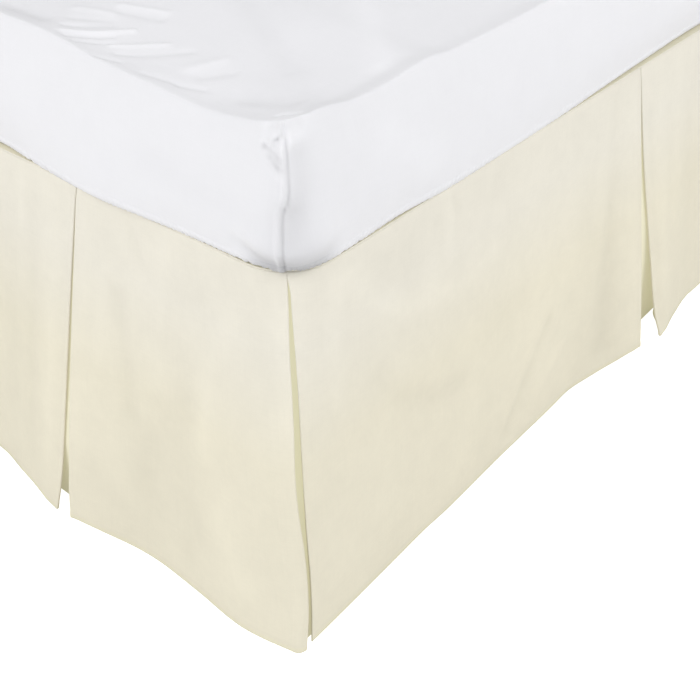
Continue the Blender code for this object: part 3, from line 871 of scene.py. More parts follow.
def fall_rows():
    """Shares of the fall, closer together at the top and at the hem."""
    above = TOP_ROWS[-1]
    below = DROP_LENGTH - HEM_ROWS[-1]
    count = round((below - above) / ROW_STEP)
    middle = mix(above, below, np.arange(1, count) / count)
    down = np.hstack([TOP_ROWS, middle, (DROP_LENGTH - HEM_ROWS)[::-1]])
    return (down / DROP_LENGTH)[:, None]


def hem_share(distance):
    """1 on the turned hem, 0 above it, with a soft step between."""
    return 1 / (1 + np.exp(np.clip((distance - HEM_WIDTH) / HEM_SOFTNESS * 4, -40, 40)))


def cloth_object(name, points, flat, hemmed, marks, finish):
    """A sheet from a grid of points (rows, columns, 3), its flat places, its hem, and marks by name."""
    rows, columns = points.shape[:2]
    index = np.arange(rows * columns).reshape(rows, columns)
    corners = (index[:-1, :-1], index[1:, :-1], index[1:, 1:], index[:-1, 1:])
    faces = np.stack([corner.ravel() for corner in corners], axis=1)
    mesh = bpy.data.meshes.new(name)
    mesh.from_pydata(points.reshape(-1, 3).tolist(), [], faces.tolist())
    layer = mesh.uv_layers.new(name="cloth")
    layer.uv.foreach_set("vector", flat.reshape(-1, 2)[faces.ravel()].astype(np.float32).ravel())
    for label, values in marks.items():
        mark = mesh.attributes.new(label, "FLOAT", "POINT")
        mark.data.foreach_set("value", np.broadcast_to(values, (rows, columns)).ravel().astype(np.float32))
    mesh.materials.append(finish)
    mesh.shade_smooth()
    cloth = bpy.data.objects.new(name, mesh)
    scene.collection.objects.link(cloth)
    group = cloth.vertex_groups.new(name="thickness")
    for i, weight in enumerate(hemmed.ravel()):
        group.add([i], float(weight), "REPLACE")
    solid = cloth.modifiers.new("thickness", "SOLIDIFY")
    solid.thickness = 2 * THREAD_CLOTH
    solid.offset = 0
    solid.vertex_group = "thickness"
    solid.thickness_vertex_group = 0.5
    return cloth


print("rows down a drop:", len(fall_rows()))


# %% Hang the three drops
def in_plan(side, along, out):
    """Bed coordinates of points along a side and out from it."""
    return [side.corner[k] + along * side.onward[k] + out * side.outward[k] for k in (0, 1)]


def cloth_width(x, y):
    """Distance along the cloth at each column, measured on a row."""
    return np.hstack([0, np.cumsum(np.hypot(np.diff(x), np.diff(y)))])


def hang_drop(drop):
    fall = fall_rows()
    along, out, inner = drop_line(drop, fall)
    x, y = in_plan(drop.side, along, out)
    z = DROP_TOP - fall * DROP_LENGTH + 0 * along
    width = cloth_width(x[len(x) // 2], y[len(y) // 2])
    up = z - HEM_HEIGHT
    flat = np.stack([width + 0 * z, up], axis=-1)
    hemmed = hem_share(up)
    hemmed = np.maximum(hemmed, hem_share(width))
    hemmed = np.maximum(hemmed, hem_share(width[-1] - width))
    points = np.stack([x, y, z], axis=-1)
    # Painted shade and highlight: the folds' and creases' relief makes ridges paler and hollows darker. The
    # inner mark gives the pleats their painted glow and painted shade, less towards the hem.
    relief = folded(drop, along, fall) * (inner == 0)
    marks = {"inner": inner * mix(1, THROUGH_AT_HEM, fall ** 2), "relief": relief}
    cloth = cloth_object(drop.name + "_cloth", points, flat, hemmed, marks, cream_cotton)
    print(f"{cloth.name}: {width[-1]:.3f} m of cloth over {drop.side.length:.3f} m")
    return cloth, width[-1]


for drop in DROPS:
    cloth, width = hang_drop(drop)
    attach(cloth, "root")
    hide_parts(drop.name)

# %% [markdown]
# ## Corner underlays
# Behind the split at each foot corner hangs a folded piece of the same cloth. Its line in plan is an
# arc between two short straight runs, wide at the top, where it follows the base, and narrow at the
# hem. There it hangs further out than its solid, close behind the two drops.

# %% Hang the corner underlays
UNDERLAY_REACH = 0.085
UNDERLAY_AT_HEM = 0.010
THROUGH_CORNER = 1.5
ARC_ANGLES = np.radians(np.linspace(0, 90, 19))
STRAIGHT_SHARES = np.array([0, 0.03, 0.08, 0.12, 0.15, 0.19, 0.26, 0.36, 0.48, 0.60, 0.72, 0.84, 0.93])
Underlay = namedtuple("Underlay", "name across foot_out side_out")
UNDERLAYS = (
    Underlay("corner_underlay_right", 1, 0.066, 0.045),
    Underlay("corner_underlay_left", -1, 0.065, 0.046),
)


def hang_underlay(underlay):
    fall = fall_rows()
    radius = mix(BASE_CORNER + BASE_INSET + INNER_LAYER, UNDERLAY_AT_HEM, fall)
    centre_x = HALF_WIDTH + mix(INNER_LAYER, underlay.side_out, fall) - radius
    centre_y = FOOT_EDGE - mix(INNER_LAYER, underlay.foot_out, fall) + radius
    foot_run = mix(HALF_WIDTH - UNDERLAY_REACH, centre_x, STRAIGHT_SHARES)
    side_run = mix(centre_y, FOOT_EDGE + UNDERLAY_REACH, 1 - STRAIGHT_SHARES[::-1])
    level = np.ones_like(STRAIGHT_SHARES)
    x = np.hstack([foot_run, centre_x + radius * np.sin(ARC_ANGLES), (centre_x + radius) * level])
    y = np.hstack([(centre_y - radius) * level, centre_y - radius * np.cos(ARC_ANGLES), side_run])
    z = DROP_TOP - fall * DROP_LENGTH + 0 * x
    width = cloth_width(x[len(x) // 2], y[len(y) // 2])
    up = z - HEM_HEIGHT
    hemmed = np.maximum(hem_share(up), np.maximum(hem_share(width), hem_share(width[-1] - width)))
    points = np.stack([underlay.across * x, y, z], axis=-1)
    flat = np.stack([width + 0 * z, up], axis=-1)
    # The inner mark gives the underlays the same painted glow and painted shade, stronger than in the
    # pleats.
    marks = {"inner": THROUGH_CORNER * mix(1, THROUGH_AT_HEM, fall ** 4)}
    cloth = cloth_object(underlay.name + "_cloth", points, flat, hemmed, marks, cream_cotton)
    return cloth, width[-1]


for underlay in UNDERLAYS:
    cloth, width = hang_underlay(underlay)
    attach(cloth, "root")
    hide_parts(underlay.name)
    print(f"{cloth.name}: {width:.3f} m of cloth")

# %% [markdown]
# ## The deck
# The deck lies between base and mattress, and only its edge shows, as a thin line above the drops. It
# is a rounded outline, filled, thickened and with its rim rounded.

# %% Lay the deck
HEAD_CORNER = 0.012
DECK_INSET = -OUTER_LAYER - CLOTH / 2
CORNER_SIGNS = ((1, 1, 0), (-1, 1, 90), (-1, -1, 180), (1, -1, 270))


def rounded_outline(inset, head_corner, foot_corner, steps=9):
    """Points round a rectangle with rounded corners, set in from the mattress's plan."""
    points = []
    for sign_x, sign_y, first in CORNER_SIGNS:
        corner = head_corner if sign_y > 0 else foot_corner
        centre_x = sign_x * (HALF_WIDTH - inset - corner)
        centre_y = MIDDLE_Y + sign_y * (HALF_LENGTH - inset - corner)
        for angle in np.radians(first + np.linspace(0, 90, steps)):
            points.append((centre_x + corner * math.cos(angle), centre_y + corner * math.sin(angle)))
    return points


def flat_uv(mesh):
    """Map each face by the two axes that it lies along, in metres."""
    layer = mesh.uv_layers.new(name="cloth")
    for face in mesh.polygons:
        axis = max(range(3), key=lambda k: abs(face.normal[k]))
        across, up = ((1, 2), (0, 2), (0, 1))[axis]
        for corner in face.loop_indices:
            spot = mesh.vertices[mesh.loops[corner].vertex_index].co
            layer.uv[corner].vector = (spot[across], spot[up])


def slab(name, outline, low, high, rim, segments, finish):
    """An outline filled and raised between two heights, with its edges rounded."""
    shape = bmesh.new()
    bottom = shape.faces.new([shape.verts.new((x, y, low)) for x, y in outline])
    raised = bmesh.ops.extrude_face_region(shape, geom=[bottom])["geom"]
    bmesh.ops.translate(shape, vec=(0, 0, high - low),
                        verts=[item for item in raised if isinstance(item, bmesh.types.BMVert)])
    bmesh.ops.recalc_face_normals(shape, faces=shape.faces)
    level = [edge for edge in shape.edges if edge.verts[0].co.z == edge.verts[1].co.z]
    bmesh.ops.bevel(shape, geom=level, offset=rim, segments=segments, profile=0.5, affect="EDGES")
    mesh = bpy.data.meshes.new(name)
    shape.to_mesh(mesh)
    shape.free()
    mesh.materials.append(finish)
    flat_uv(mesh)
    mesh.shade_smooth()
    mesh.set_sharp_from_angle(angle=math.radians(40))
    piece = bpy.data.objects.new(name, mesh)
    scene.collection.objects.link(piece)
    return piece


deck_outline = rounded_outline(DECK_INSET, HEAD_CORNER, CORNER_AT_TOP + CLOTH / 2)
deck = slab("deck_cloth", deck_outline, DECK_TOP - CLOTH, DECK_TOP, 0.0005, 3, cream_cotton)
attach(deck, "root")
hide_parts("skirt_deck")

# %% [markdown]
# ## The base and its legs
# The skirt hides the base all round but at the head, where its end is bare. It is a padded box in a
# hard-wearing ticking, so its edges are soft. Its legs keep their solids, and only get a wood finish.

# %% Finish the base
base_ticking = make_cotton(
    Cotton("base_ticking_cloth", (0.54, 0.515, 0.465), 0.05, 0.09, 0.10, 1100.0, 0.00015, 0.0, 0.08, False)
)
base_outline = rounded_outline(BASE_INSET, HEAD_CORNER, BASE_CORNER)
base = slab("base_cover", base_outline, base_low.z, base_high.z, 0.008, 4, base_ticking)
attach(base, "root")
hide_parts("bed_base")
print(f"base {base_high.z - base_low.z:.3f} m high")


# %% Finish the legs
def make_wood():
    """Beech: one noise, stretched up the leg, gives its grain and a faint relief."""
    finish = bpy.data.materials.new("leg_wood_grain")
    finish.use_nodes = True
    tree = finish.node_tree
    shader = tree.nodes["Principled BSDF"]
    where = node(tree, "ShaderNodeTexCoord", out=3)
    stretched = node(tree, "ShaderNodeVectorMath", where, (60.0, 60.0, 7.0), operation="MULTIPLY")
    rings = node(tree, "ShaderNodeTexNoise", stretched, None, 2.0, 4.0, noise_dimensions="3D")
    ramp = tree.nodes.new("ShaderNodeValToRGB")
    ramp.color_ramp.elements[0].position = 0.35
    ramp.color_ramp.elements[0].color = (0.30, 0.175, 0.085, 1)
    ramp.color_ramp.elements[1].position = 0.70
    ramp.color_ramp.elements[1].color = (0.47, 0.31, 0.175, 1)
    tree.links.new(rings, ramp.inputs[0])
    tree.links.new(ramp.outputs[0], shader.inputs["Base Color"])
    bump = node(tree, "ShaderNodeBump", 0.3, 0.0002)
    tree.links.new(rings, bump.node.inputs["Height"])
    tree.links.new(bump, shader.inputs["Normal"])
    shader.inputs["Roughness"].default_value = 0.45
    return finish


wood = make_wood()
for name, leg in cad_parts.items():
    if name.startswith("base_leg"):
        leg.data.materials.clear()
        leg.data.materials.append(wood)
print("legs finished in", wood.name)

# %% [markdown]
# ## The mattress in its fitted cover
# A mattress is a soft box, crowned on top, in a white cover that is pulled tight, seamed at the four
# corners and gathered under by elastic. It starts as a plain box cut into a fine grid, closer near
# its edges, and every point is then sent to its place by a profile and the rounded plan. Low on each
# corner the filling pushes the cover out, and below that the elastic tucks it in again.

# %% The cover's profile and plan
MATTRESS_HEIGHT = 0.160
SEAT_GAP = 0.0003
PLAN_CORNER = 0.050
CornerPower = namedtuple("CornerPower", "height power")     # power 2 makes a quarter circle in plan
CORNER_POWERS = (
    CornerPower(0.000, 2.0), CornerPower(0.025, 3.0), CornerPower(0.050, 3.8),
    CornerPower(0.135, 3.8), CornerPower(0.158, 2.6), CornerPower(0.1635, 2.1),
)

Profile = namedtuple("Profile", "along inset height")
COVER_PROFILE = (
    Profile(-0.450, 0.4500, 0.1650), Profile(-0.200, 0.2000, 0.1640), Profile(-0.120, 0.1200, 0.1612),
    Profile(-0.080, 0.0800, 0.1596), Profile(-0.050, 0.0500, 0.1590), Profile(-0.028, 0.0340, 0.1598),
    Profile(-0.014, 0.0235, 0.1613), Profile(-0.005, 0.0165, 0.1628), Profile(-0.0015, 0.0135, 0.1633),
    Profile(0.0000, 0.0122, 0.1631), Profile(0.0015, 0.0112, 0.1621), Profile(0.005, 0.0094, 0.1590),
    Profile(0.016, 0.0052, 0.1490), Profile(0.028, 0.0018, 0.1374), Profile(0.045, -0.0020, 0.1205),
    Profile(0.065, -0.0050, 0.1000), Profile(0.110, -0.0078, 0.0520), Profile(0.140, -0.0064, 0.0200),
    Profile(0.152, -0.0036, 0.0070), Profile(0.160, 0.0010, 0.0010), Profile(0.172, 0.0125, 0.0000),
    Profile(0.610, 0.4500, 0.0000),
)
Bow = namedtuple("Bow", "along out")
FOOT_BOW = (
    Bow(0.000, 0.006), Bow(0.030, 0.004), Bow(0.060, 0.001), Bow(0.090, 0.001), Bow(0.140, 0.002),
    Bow(0.200, 0.006), Bow(0.250, 0.009), Bow(0.290, 0.008), Bow(0.360, 0.002), Bow(0.440, -0.006),
    Bow(0.600, 0.002), Bow(0.760, 0.004), Bow(0.900, -0.002),
)
RIGHT_BOW = (
    Bow(0.000, 0.006), Bow(0.040, 0.003), Bow(0.100, 0.000), Bow(0.160, -0.001), Bow(0.220, 0.003),
    Bow(0.320, 0.003), Bow(0.440, 0.001), Bow(0.560, -0.003), Bow(0.660, -0.006), Bow(0.800, -0.008),
    Bow(1.100, 0.003), Bow(1.500, -0.004), Bow(1.900, -0.002),
)
BOW_MIDDLE = 0.004
BOW_HEIGHT = 0.070
CORNER_BULGE = 0.012        # how far the filling pushes a corner's foot out
CORNER_BULGE_HEIGHT = 0.110
CORNER_TUCK = 0.016         # how far the elastic then draws it in
CORNER_TUCK_HEIGHT = 0.050
CORNER_TUCK_REACH = 0.040
print("profile rows:", len(COVER_PROFILE))

# %% [markdown]
# The mattress is crowned: its edges lie lower than its middle, most of all at the corners, where the
# cover pulls hardest. Two short tables say how much lower, along an end and along a side.

# %% How low the top's edges lie
EdgeDrop = namedtuple("EdgeDrop", "along down")
END_DROPS = (
    EdgeDrop(0.000, 0.014), EdgeDrop(0.030, 0.018), EdgeDrop(0.060, 0.025), EdgeDrop(0.110, 0.030),
    EdgeDrop(0.160, 0.027), EdgeDrop(0.250, 0.021), EdgeDrop(0.310, 0.013), EdgeDrop(0.340, 0.010),
    EdgeDrop(0.390, 0.009), EdgeDrop(0.500, 0.009), EdgeDrop(0.700, 0.017), EdgeDrop(0.900, 0.015),
)
SIDE_DROPS = (
    EdgeDrop(0.000, 0.010), EdgeDrop(0.040, 0.013), EdgeDrop(0.070, 0.018), EdgeDrop(0.100, 0.025),
    EdgeDrop(0.150, 0.026), EdgeDrop(0.210, 0.022), EdgeDrop(0.250, 0.026), EdgeDrop(0.400, 0.026),
    EdgeDrop(0.650, 0.021), EdgeDrop(1.100, 0.017), EdgeDrop(1.500, 0.020), EdgeDrop(1.900, 0.015),
)
CROWN_POWER = 1.5
CORNER_DROP = 0.010
CORNER_DROP_REACH = 0.030


def crown_drop(x, y):
    """How far the cover's top lies below the middle of its crown."""
    from_side = np.clip(HALF_WIDTH - np.abs(x), 0, HALF_WIDTH)
    from_end = np.clip(HALF_LENGTH - np.abs(y), 0, HALF_LENGTH)
    along_end = np.where(y < 0, HALF_WIDTH - x, HALF_WIDTH + x)
    along_side = np.where(x > 0, HALF_LENGTH + y, HALF_LENGTH - y)
    side = through(SIDE_DROPS, along_side) * (1 - from_side / HALF_WIDTH) ** CROWN_POWER
    end = through(END_DROPS, along_end) * np.maximum(1 - from_end / HALF_WIDTH, 0) ** CROWN_POWER
    from_corner = np.hypot(from_side, from_end)
    return np.cbrt(side ** 3 + end ** 3) + CORNER_DROP * np.exp(-(from_corner / CORNER_DROP_REACH) ** 2)


print(f"a corner of the top lies {crown_drop(HALF_WIDTH, -HALF_LENGTH) * 1000:.0f} mm low")

# %% [markdown]
# A seam runs down each corner, a little crooked, with a soft hollow beside it where the cover is
# slack. The seam is painted into the colour as a paler line with painted shade beside it, stronger than
# its relief, and the hollow and the creases are painted as shade and highlight too. The creases near
# the visible corner follow the real ones, and the other corners have their own.

# %% Seams, hollows and creases of the cover
SEAM_HEIGHT = 0.0016
SEAM_WIDTH = 0.0017
SEAM_FOLD = 0.0014          # the little valley beside the seam
SEAM_FOLD_SIDE = 0.0042
SEAM_FOLD_WIDTH = 0.0013
# SEAM_PALER is the seam's painted highlight, SEAM_FOLD_DARKER the painted shade in the valley beside it.
SEAM_PALER = 1.5            # the seam's marks are stronger than its relief alone
SEAM_FOLD_DARKER = 3.5
SEAM_MARKS_FROM = 0.008     # and they start a little below the mattress's edge
SIDE_FROM = -0.006          # along the profile, where the side's seam and creases come in
SIDE_COMES_OVER = 0.012
SIDE_UNTIL = 0.165          # and where they are gone
SIDE_GOES_OVER = 0.010
Corner = namedtuple("Corner", "name across onward seam hollow side_creases top_creases")
FOOT_RIGHT = Corner(
    "foot_right", 1, -1,
    ((0.000, -0.004), (0.030, -0.003), (0.070, -0.004), (0.084, -0.008), (0.110, -0.009), (0.160, -0.009)),
    (Crease(0.010, 0.030, 0.010, 0.064, 0.012, -0.0035), Crease(0.004, 0.085, 0.002, 0.112, 0.013, -0.0070)),
    (
        Crease(-0.017, 0.020, -0.005, 0.029, 0.0026, -0.0030),
        Crease(-0.012, 0.029, -0.003, 0.041, 0.0030, -0.0034),
        Crease(-0.013, 0.025, -0.004, 0.035, 0.0022, 0.0018),
        Crease(-0.022, 0.014, -0.012, 0.017, 0.0026, 0.0018),
        Crease(-0.009, 0.016, -0.003, 0.011, 0.0022, -0.0032),
        Crease(-0.012, 0.010, -0.005, 0.008, 0.0022, 0.0026),
        Crease(0.004, 0.008, 0.006, 0.017, 0.0024, 0.0020),
        Crease(-0.012, 0.002, 0.020, 0.001, 0.0070, -0.0035),
        Crease(-0.040, 0.134, -0.004, 0.140, 0.0070, -0.0016),
        Crease(-0.055, 0.132, -0.014, 0.146, 0.0060, -0.0020),
        Crease(-0.160, 0.080, -0.020, 0.100, 0.020, -0.0010),
        Crease(0.120, 0.050, 0.180, 0.110, 0.026, 0.0012),
    ),
    (
        Crease(0.322, 0.020, 0.274, 0.077, 0.0042, 0.0018),
        Crease(0.333, 0.035, 0.298, 0.071, 0.0052, -0.0014),
        Crease(0.311, 0.014, 0.282, 0.056, 0.0042, -0.0015),
        Crease(0.297, 0.012, 0.270, 0.046, 0.0044, -0.0012),
        Crease(0.267, 0.042, 0.228, 0.079, 0.0042, 0.0015),
        Crease(0.251, 0.031, 0.200, 0.083, 0.0056, -0.0013),
        Crease(0.325, 0.105, 0.276, 0.125, 0.0046, 0.0015),
        Crease(0.312, 0.096, 0.272, 0.111, 0.0056, -0.0013),
        Crease(0.356, 0.072, 0.314, 0.088, 0.0052, 0.0011),
        Crease(0.340, 0.056, 0.305, 0.076, 0.0060, -0.0012),
        Crease(0.175, 0.060, 0.162, 0.090, 0.0080, 0.0016),
        Crease(0.155, 0.056, 0.140, 0.078, 0.0070, -0.0013),
        Crease(0.408, 0.034, 0.365, 0.036, 0.0160, -0.0030),
        Crease(0.092, 0.050, 0.052, 0.064, 0.0160, -0.0022),
        Crease(0.158, 0.024, 0.138, 0.036, 0.0060, -0.0013),
        Crease(0.200, 0.016, 0.165, 0.025, 0.0060, -0.0013),
        Crease(0.258, 0.004, 0.236, 0.016, 0.0044, -0.0011),
        Crease(0.390, 0.130, 0.330, 0.150, 0.0100, 0.0014),
        Crease(0.045, 0.180, 0.200, 0.330, 0.0160, 0.0018),
        Crease(0.100, 0.120, 0.250, 0.200, 0.0140, -0.0014),
        Crease(0.020, 0.060, 0.030, 0.200, 0.0140, -0.0012),
        Crease(0.030, 0.022, 0.010, 0.044, 0.0060, -0.0014),
    ),
)
FOOT_LEFT = Corner(
    "foot_left", -1, -1,
    ((0.000, 0.001), (0.080, -0.002), (0.160, 0.001)),
    (Crease(-0.014, 0.030, -0.022, 0.140, 0.012, -0.0035),),
    (Crease(0.026, 0.008, 0.005, 0.050, 0.0045, -0.0013),
     Crease(-0.140, 0.060, -0.040, 0.110, 0.022, 0.0012)),
    (Crease(0.150, 0.020, 0.120, 0.070, 0.0060, 0.0016), Crease(0.060, 0.120, 0.200, 0.260, 0.018, -0.0018)),
)
HEAD_RIGHT = Corner(
    "head_right", 1, 1,
    ((0.000, -0.001), (0.090, 0.002), (0.160, 0.000)),
    (Crease(0.015, 0.040, 0.020, 0.140, 0.012, -0.0035),),
    (Crease(-0.028, 0.010, -0.006, 0.044, 0.0040, -0.0012),
     Crease(0.200, 0.050, 0.300, 0.100, 0.024, 0.0012)),
    (Crease(0.200, 0.030, 0.140, 0.090, 0.0060, 0.0016), Crease(0.080, 0.200, 0.220, 0.300, 0.020, -0.0020)),
)
HEAD_LEFT = Corner(
    "head_left", -1, 1,
    ((0.000, 0.000), (0.070, 0.002), (0.160, -0.001)),
    (Crease(-0.012, 0.030, -0.020, 0.130, 0.012, -0.0040),),
    (Crease(0.030, 0.006, 0.006, 0.046, 0.0045, -0.0012),
     Crease(-0.220, 0.060, -0.120, 0.120, 0.022, -0.0012)),
    (Crease(0.130, 0.040, 0.200, 0.100, 0.0070, 0.0016), Crease(0.300, 0.100, 0.160, 0.240, 0.020, 0.0020)),
)
CORNERS = (FOOT_RIGHT, FOOT_LEFT, HEAD_RIGHT, HEAD_LEFT)
print("corners:", ", ".join(corner.name for corner in CORNERS))


# %% Send the points of a box to the cover
def cover_plan(x, y):
    """For points of the box: how far in they lie, which way is out, and how far round from a corner."""
    past_x = np.abs(x) - (HALF_WIDTH - PLAN_CORNER)
    past_y = np.abs(y) - (HALF_LENGTH - PLAN_CORNER)
    inset = np.minimum(HALF_WIDTH - np.abs(x), HALF_LENGTH - np.abs(y))
    in_corner = (past_x > 0) & (past_y > 0)
    angle = np.arctan2(np.maximum(past_y, 1e-9), np.maximum(past_x, 1e-9))
    angle = np.where(in_corner, angle, np.where(past_x > past_y, 0, math.pi / 2))
    quarter = PLAN_CORNER * math.pi / 4
    around = np.where(past_x > past_y, quarter - np.minimum(past_y, 0), np.minimum(past_x, 0) - quarter)
    around = np.where(in_corner, PLAN_CORNER * (math.pi / 4 - angle), around)
    return inset, angle, around, in_corner, past_x, past_y


def lower_bow(x, y, angle):
    """How far the cover's lower edge bows out, from the tables of two sides, turned for the others."""
    from_foot = HALF_LENGTH + y
    from_right = HALF_WIDTH - x
    side = through(RIGHT_BOW, np.where(x > 0, from_foot, 2 * HALF_LENGTH - from_foot))
    end = through(FOOT_BOW, np.where(y < 0, from_right, 2 * HALF_WIDTH - from_right))
    return mix(side, end, angle / (math.pi / 2)) - BOW_MIDDLE


def shape_cover(x, y, drop):
    """Places of the cover for points of a box, centred on the bed; drop is along the profile."""
    inset, angle, around, in_corner, past_x, past_y = cover_plan(x, y)
    below = np.clip(drop, 0, MATTRESS_HEIGHT)
    height = through([(row.along, row.height) for row in COVER_PROFILE], drop)
    set_in = through([(row.along, row.inset) for row in COVER_PROFILE], drop)
    out = inset - set_in
    low = np.clip(1 - height / BOW_HEIGHT, 0, 1) * (drop > 0)
    out = out + lower_bow(x, y, angle) * smooth(low)
    at_corner = np.exp(-(around / CORNER_TUCK_REACH) ** 4) * (drop > 0)
    bulge = CORNER_BULGE * smooth(np.clip(1 - height / CORNER_BULGE_HEIGHT, 0, 1))
    tuck = CORNER_TUCK * smooth(np.clip(1 - height / CORNER_TUCK_HEIGHT, 0, 1))
    out = out + (bulge - tuck) * at_corner
    # Painted shade where the elastic tucks each corner's foot under.
    relief = -tuck * at_corner
    lift = np.zeros_like(out)
    come_in = smooth(np.clip((drop - SIDE_FROM) / SIDE_COMES_OVER, 0, 1))
    beside = come_in * smooth(np.clip((SIDE_UNTIL - drop) / SIDE_GOES_OVER, 0, 1))
    for corner in CORNERS:
        here = (x * corner.across > 0) & (y * corner.onward > 0)
        off_seam = around - through(corner.seam, below)
        seam = SEAM_HEIGHT * np.exp(-(off_seam / SEAM_WIDTH) ** 2)
        valley = SEAM_FOLD * np.exp(-((off_seam - SEAM_FOLD_SIDE) / SEAM_FOLD_WIDTH) ** 2)
        slack = creased(corner.hollow + corner.side_creases, around, below)
        out = out + np.where(here, (seam - valley + slack) * beside, 0)
        # Painted shade and highlight on the cover's side: the seam's ridge paler, the valley beside it
        # darker, and the hollow and side creases by their relief.
        marked = smooth(np.clip(drop / SEAM_MARKS_FROM - 1, 0, 1))
        seam_light_and_shade = (SEAM_PALER * seam - SEAM_FOLD_DARKER * valley) * marked
        relief = relief + np.where(here, (seam_light_and_shade + slack) * beside, 0)
        top = creased(corner.top_creases, HALF_WIDTH - np.abs(x), HALF_LENGTH - np.abs(y))
        lift = lift + np.where(here, top * (1 - beside) * (drop < 0), 0)
    across = np.sign(x) * np.cos(angle)
    onward = np.sign(y) * np.sin(angle)
    centre_x = np.abs(x) - np.where(in_corner, past_x, 0)
    centre_y = np.abs(y) - np.where(in_corner, past_y, 0)
    power = through(CORNER_POWERS, height)
    squared = (np.abs(across) ** power + np.abs(onward) ** power) ** (-1 / power)
    reach = np.where(in_corner, np.maximum(past_x, past_y) * squared, 0) + out
    px = np.sign(x) * centre_x + across * reach
    py = np.sign(y) * centre_y + onward * reach
    raised = np.clip(height / MATTRESS_HEIGHT, 0, 1)
    pz = DECK_TOP + SEAT_GAP + height + lift - crown_drop(px, py) * raised
    outward = np.stack([across, onward, 0 * across], axis=-1)
    # The top's creases are painted as shade and highlight too, by their lift.
    return np.stack([px, py + MIDDLE_Y, pz], axis=-1), outward, relief + lift


print("the cover's rule is ready")

# %% [markdown]
# The visible corner has the finest creases, so the grid is finest there. A short table gives the
# cells' size along each edge of the box, and the cuts follow it.

# %% Where the grid of the cover is cut
Cell = namedtuple("Cell", "at size")
CELLS_ACROSS = (Cell(0, 0.0015), Cell(0.060, 0.0016), Cell(0.110, 0.0026), Cell(0.340, 0.0028),
                Cell(0.450, 0.009), Cell(0.840, 0.012), Cell(0.860, 0.004), Cell(0.900, 0.0025))
CELLS_ONWARD = (Cell(0, 0.0015), Cell(0.060, 0.0016), Cell(0.110, 0.0026), Cell(0.220, 0.0032),
                Cell(0.420, 0.008), Cell(0.600, 0.020), Cell(1.820, 0.020), Cell(1.860, 0.004),
                Cell(1.900, 0.0025))
CELLS_UP = (Cell(0, 0.0022), Cell(0.020, 0.0040), Cell(0.060, 0.0062), Cell(0.110, 0.0062),
            Cell(0.140, 0.0045), Cell(0.160, 0.0016))


def cut_places(length, cells):
    """Places along a length, apart by the sizes in a table."""
    places = [0.0]
    while places[-1] < length:
        places.append(places[-1] + float(through(cells, np.array([places[-1]]))[0]))
    return np.array(places) * length / places[-1]


across_cuts = cut_places(2 * HALF_WIDTH, CELLS_ACROSS)
onward_cuts = cut_places(2 * HALF_LENGTH, CELLS_ONWARD)
up_cuts = cut_places(MATTRESS_HEIGHT, CELLS_UP)
print("cells across, onward and up:", len(across_cuts) - 1, len(onward_cuts) - 1, len(up_cuts) - 1)

# %% [markdown]
# The filling's lower edge is set back behind the elastic edge, and the bottom is left as one face.

# %% Make the mattress
SET_BACK = 0.008            # the filling ends this far behind the elastic edge
SET_BACK_FROM = 0.150
SET_BACK_OVER = 0.010


def spread(place, cuts):
    """Places between -1 and 1, evenly apart, sent to the cuts."""
    return np.interp((place + 1) / 2 * (len(cuts) - 1), np.arange(len(cuts)), cuts)


def make_mattress():
    box = bmesh.new()
    bmesh.ops.create_cube(box, size=2.0)
    for axis, cuts in enumerate((across_cuts, onward_cuts, up_cuts)):
        edges = [e for e in box.edges if abs(e.verts[0].co[axis] - e.verts[1].co[axis]) > 1.0]
        bmesh.ops.subdivide_edges(box, edges=edges, cuts=len(cuts) - 2)
    bottom = [face for face in box.faces if all(v.co.z < -0.999 for v in face.verts)]
    bmesh.ops.dissolve_faces(box, faces=bottom)
    mesh = bpy.data.meshes.new("mattress_cover")
    box.to_mesh(mesh)
    box.free()
    places = np.zeros(len(mesh.vertices) * 3)
    mesh.vertices.foreach_get("co", places)
    x, y, z = places.reshape(-1, 3).T
    on_side = np.maximum(np.abs(x), np.abs(y)) > 0.9999
    x = HALF_WIDTH - spread(-x, across_cuts)
    y = spread(y, onward_cuts) - HALF_LENGTH
    down = spread(-z, up_cuts)
    inset = np.minimum(HALF_WIDTH - np.abs(x), HALF_LENGTH - np.abs(y))
    drop = np.where(on_side, down, np.where(z > 0, -inset, MATTRESS_HEIGHT + inset))
    points, outward, relief = shape_cover(x, y, drop)
    behind_strip = smooth(np.clip((drop - SET_BACK_FROM) / SET_BACK_OVER, 0, 1))
    points = points - outward * (SET_BACK * behind_strip)[:, None]
    mesh.vertices.foreach_set("co", points.ravel())
    # The relief mark carries the cover's painted shade and highlight.
    mesh.attributes.new("relief", "FLOAT", "POINT").data.foreach_set("value", relief.astype(np.float32))
    mesh.update()
    mesh.materials.append(white_cotton)
    flat_uv(mesh)
    mesh.shade_smooth()
    piece = bpy.data.objects.new("mattress_cover", mesh)
    scene.collection.objects.link(piece)
    return piece


mattress = make_mattress()
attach(mattress, "root")
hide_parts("mattress")
print("mattress faces:", len(mattress.data.polygons))

# %% [markdown]
# ## The elastic edge
# The cover's lower edge is drawn in by elastic, so it stands in small uneven ruffles over the deck's
# rim. The strip is a fine grid along the whole edge, and its ripples grow towards its free edge.

# %% Gather the elastic edge
RUFFLE_STEP = 0.0013
RUFFLE_PERIOD = 0.0062
RUFFLE_TOP = 0.018
RUFFLE_SHARES = np.array([0, 0.12, 0.25, 0.40, 0.55, 0.70, 0.85, 1.0])
RUFFLE_DEPTH = 0.0014
RUFFLE_TUCK = 0.0012
RUFFLE_PROUD = 0.0012
RUFFLE_GATHER = 1.12
RUFFLE_HEM = -0.0002
RUFFLE_JAG = 0.0006
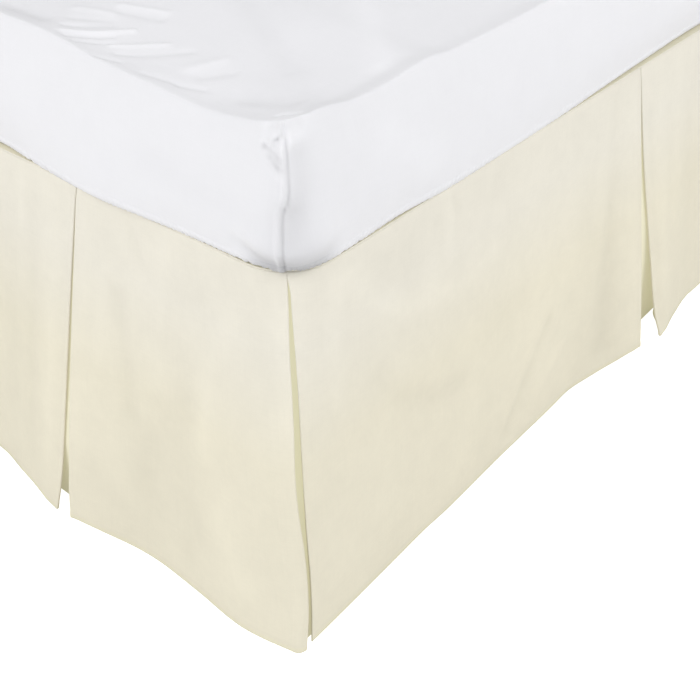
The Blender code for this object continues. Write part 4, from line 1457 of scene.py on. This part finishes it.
# How much stronger the cover's painted shade and highlight are on the ruffle.
RUFFLE_PAINTED_SHADE = 1.25
Gap = namedtuple("Gap", "around width lift")
RUFFLE_GAPS = (
    Gap(-0.058, 0.0025, 0.0022), Gap(-0.043, 0.0030, 0.0030), Gap(-0.030, 0.0060, 0.0026),
    Gap(-0.021, 0.0030, 0.0030), Gap(0.001, 0.0050, 0.0034), Gap(0.060, 0.0030, 0.0014),
)


def uneven(places, size, seed):
    """A smooth random value from about -1 to 1 at each place, the same on every run."""
    return np.array([noise.noise((place / size, seed, 0.5)) for place in places]) * 1.6


def make_ruffle():
    length = 4 * (HALF_WIDTH + HALF_LENGTH)
    count = round(length / RUFFLE_STEP)
    place = np.arange(count + 1) / count * length
    bounds = np.cumsum([0, 2 * HALF_LENGTH, 2 * HALF_WIDTH, 2 * HALF_LENGTH, 2 * HALF_WIDTH])
    x = np.interp(place, bounds, [HALF_WIDTH, HALF_WIDTH, -HALF_WIDTH, -HALF_WIDTH, HALF_WIDTH])
    y = np.interp(place, bounds, [-HALF_LENGTH, HALF_LENGTH, HALF_LENGTH, -HALF_LENGTH, -HALF_LENGTH])
    strength = np.clip(0.55 + 0.6 * uneven(place, 0.060, 1.7), 0.12, 1.2)
    phase = 2 * math.pi * (place / RUFFLE_PERIOD + 0.8 * uneven(place, 0.022, 4.1))
    jag = uneven(place, 0.005, 8.3)
    around = cover_plan(x, y)[2]
    at_foot_right = (x > 0) & (y < 0)
    lift = sum(gap.lift * np.exp(-((around - gap.around) / gap.width) ** 4) for gap in RUFFLE_GAPS)
    lift = np.where(at_foot_right, lift, 0) + RUFFLE_JAG * (1 + jag) * strength
    rows, relief = [], []
    for share in RUFFLE_SHARES:
        height = mix(RUFFLE_TOP, 0.0, share)
        row, outward, mark = shape_cover(x, y, np.full_like(x, MATTRESS_HEIGHT - height))
        relief.append(mark)
        ripple = RUFFLE_DEPTH * strength * np.sin(phase + 0.9 * share) * smooth(share)
        out = mix(-RUFFLE_TUCK, RUFFLE_PROUD, smooth(min(share / 0.4, 1))) + ripple
        row = row + outward * out[:, None]
        row[:, 2] = row[:, 2] + RUFFLE_HEM + lift * share ** 2
        rows.append(row)
    points = np.array(rows)
    up = points[..., 2] - DECK_TOP
    flat = np.stack([np.broadcast_to(place * RUFFLE_GATHER, points.shape[:2]), up], axis=-1)
    return points, flat, {"relief": RUFFLE_PAINTED_SHADE * np.array(relief)}, length


points, flat, marks, length = make_ruffle()
ruffle = cloth_object("cover_elastic_edge", points, flat, np.zeros(points.shape[:2]), marks, white_cotton)
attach(ruffle, "root")
print("ruffle columns:", points.shape[1])

# %% [markdown]
# ## The end

# %% The end
print("the end")
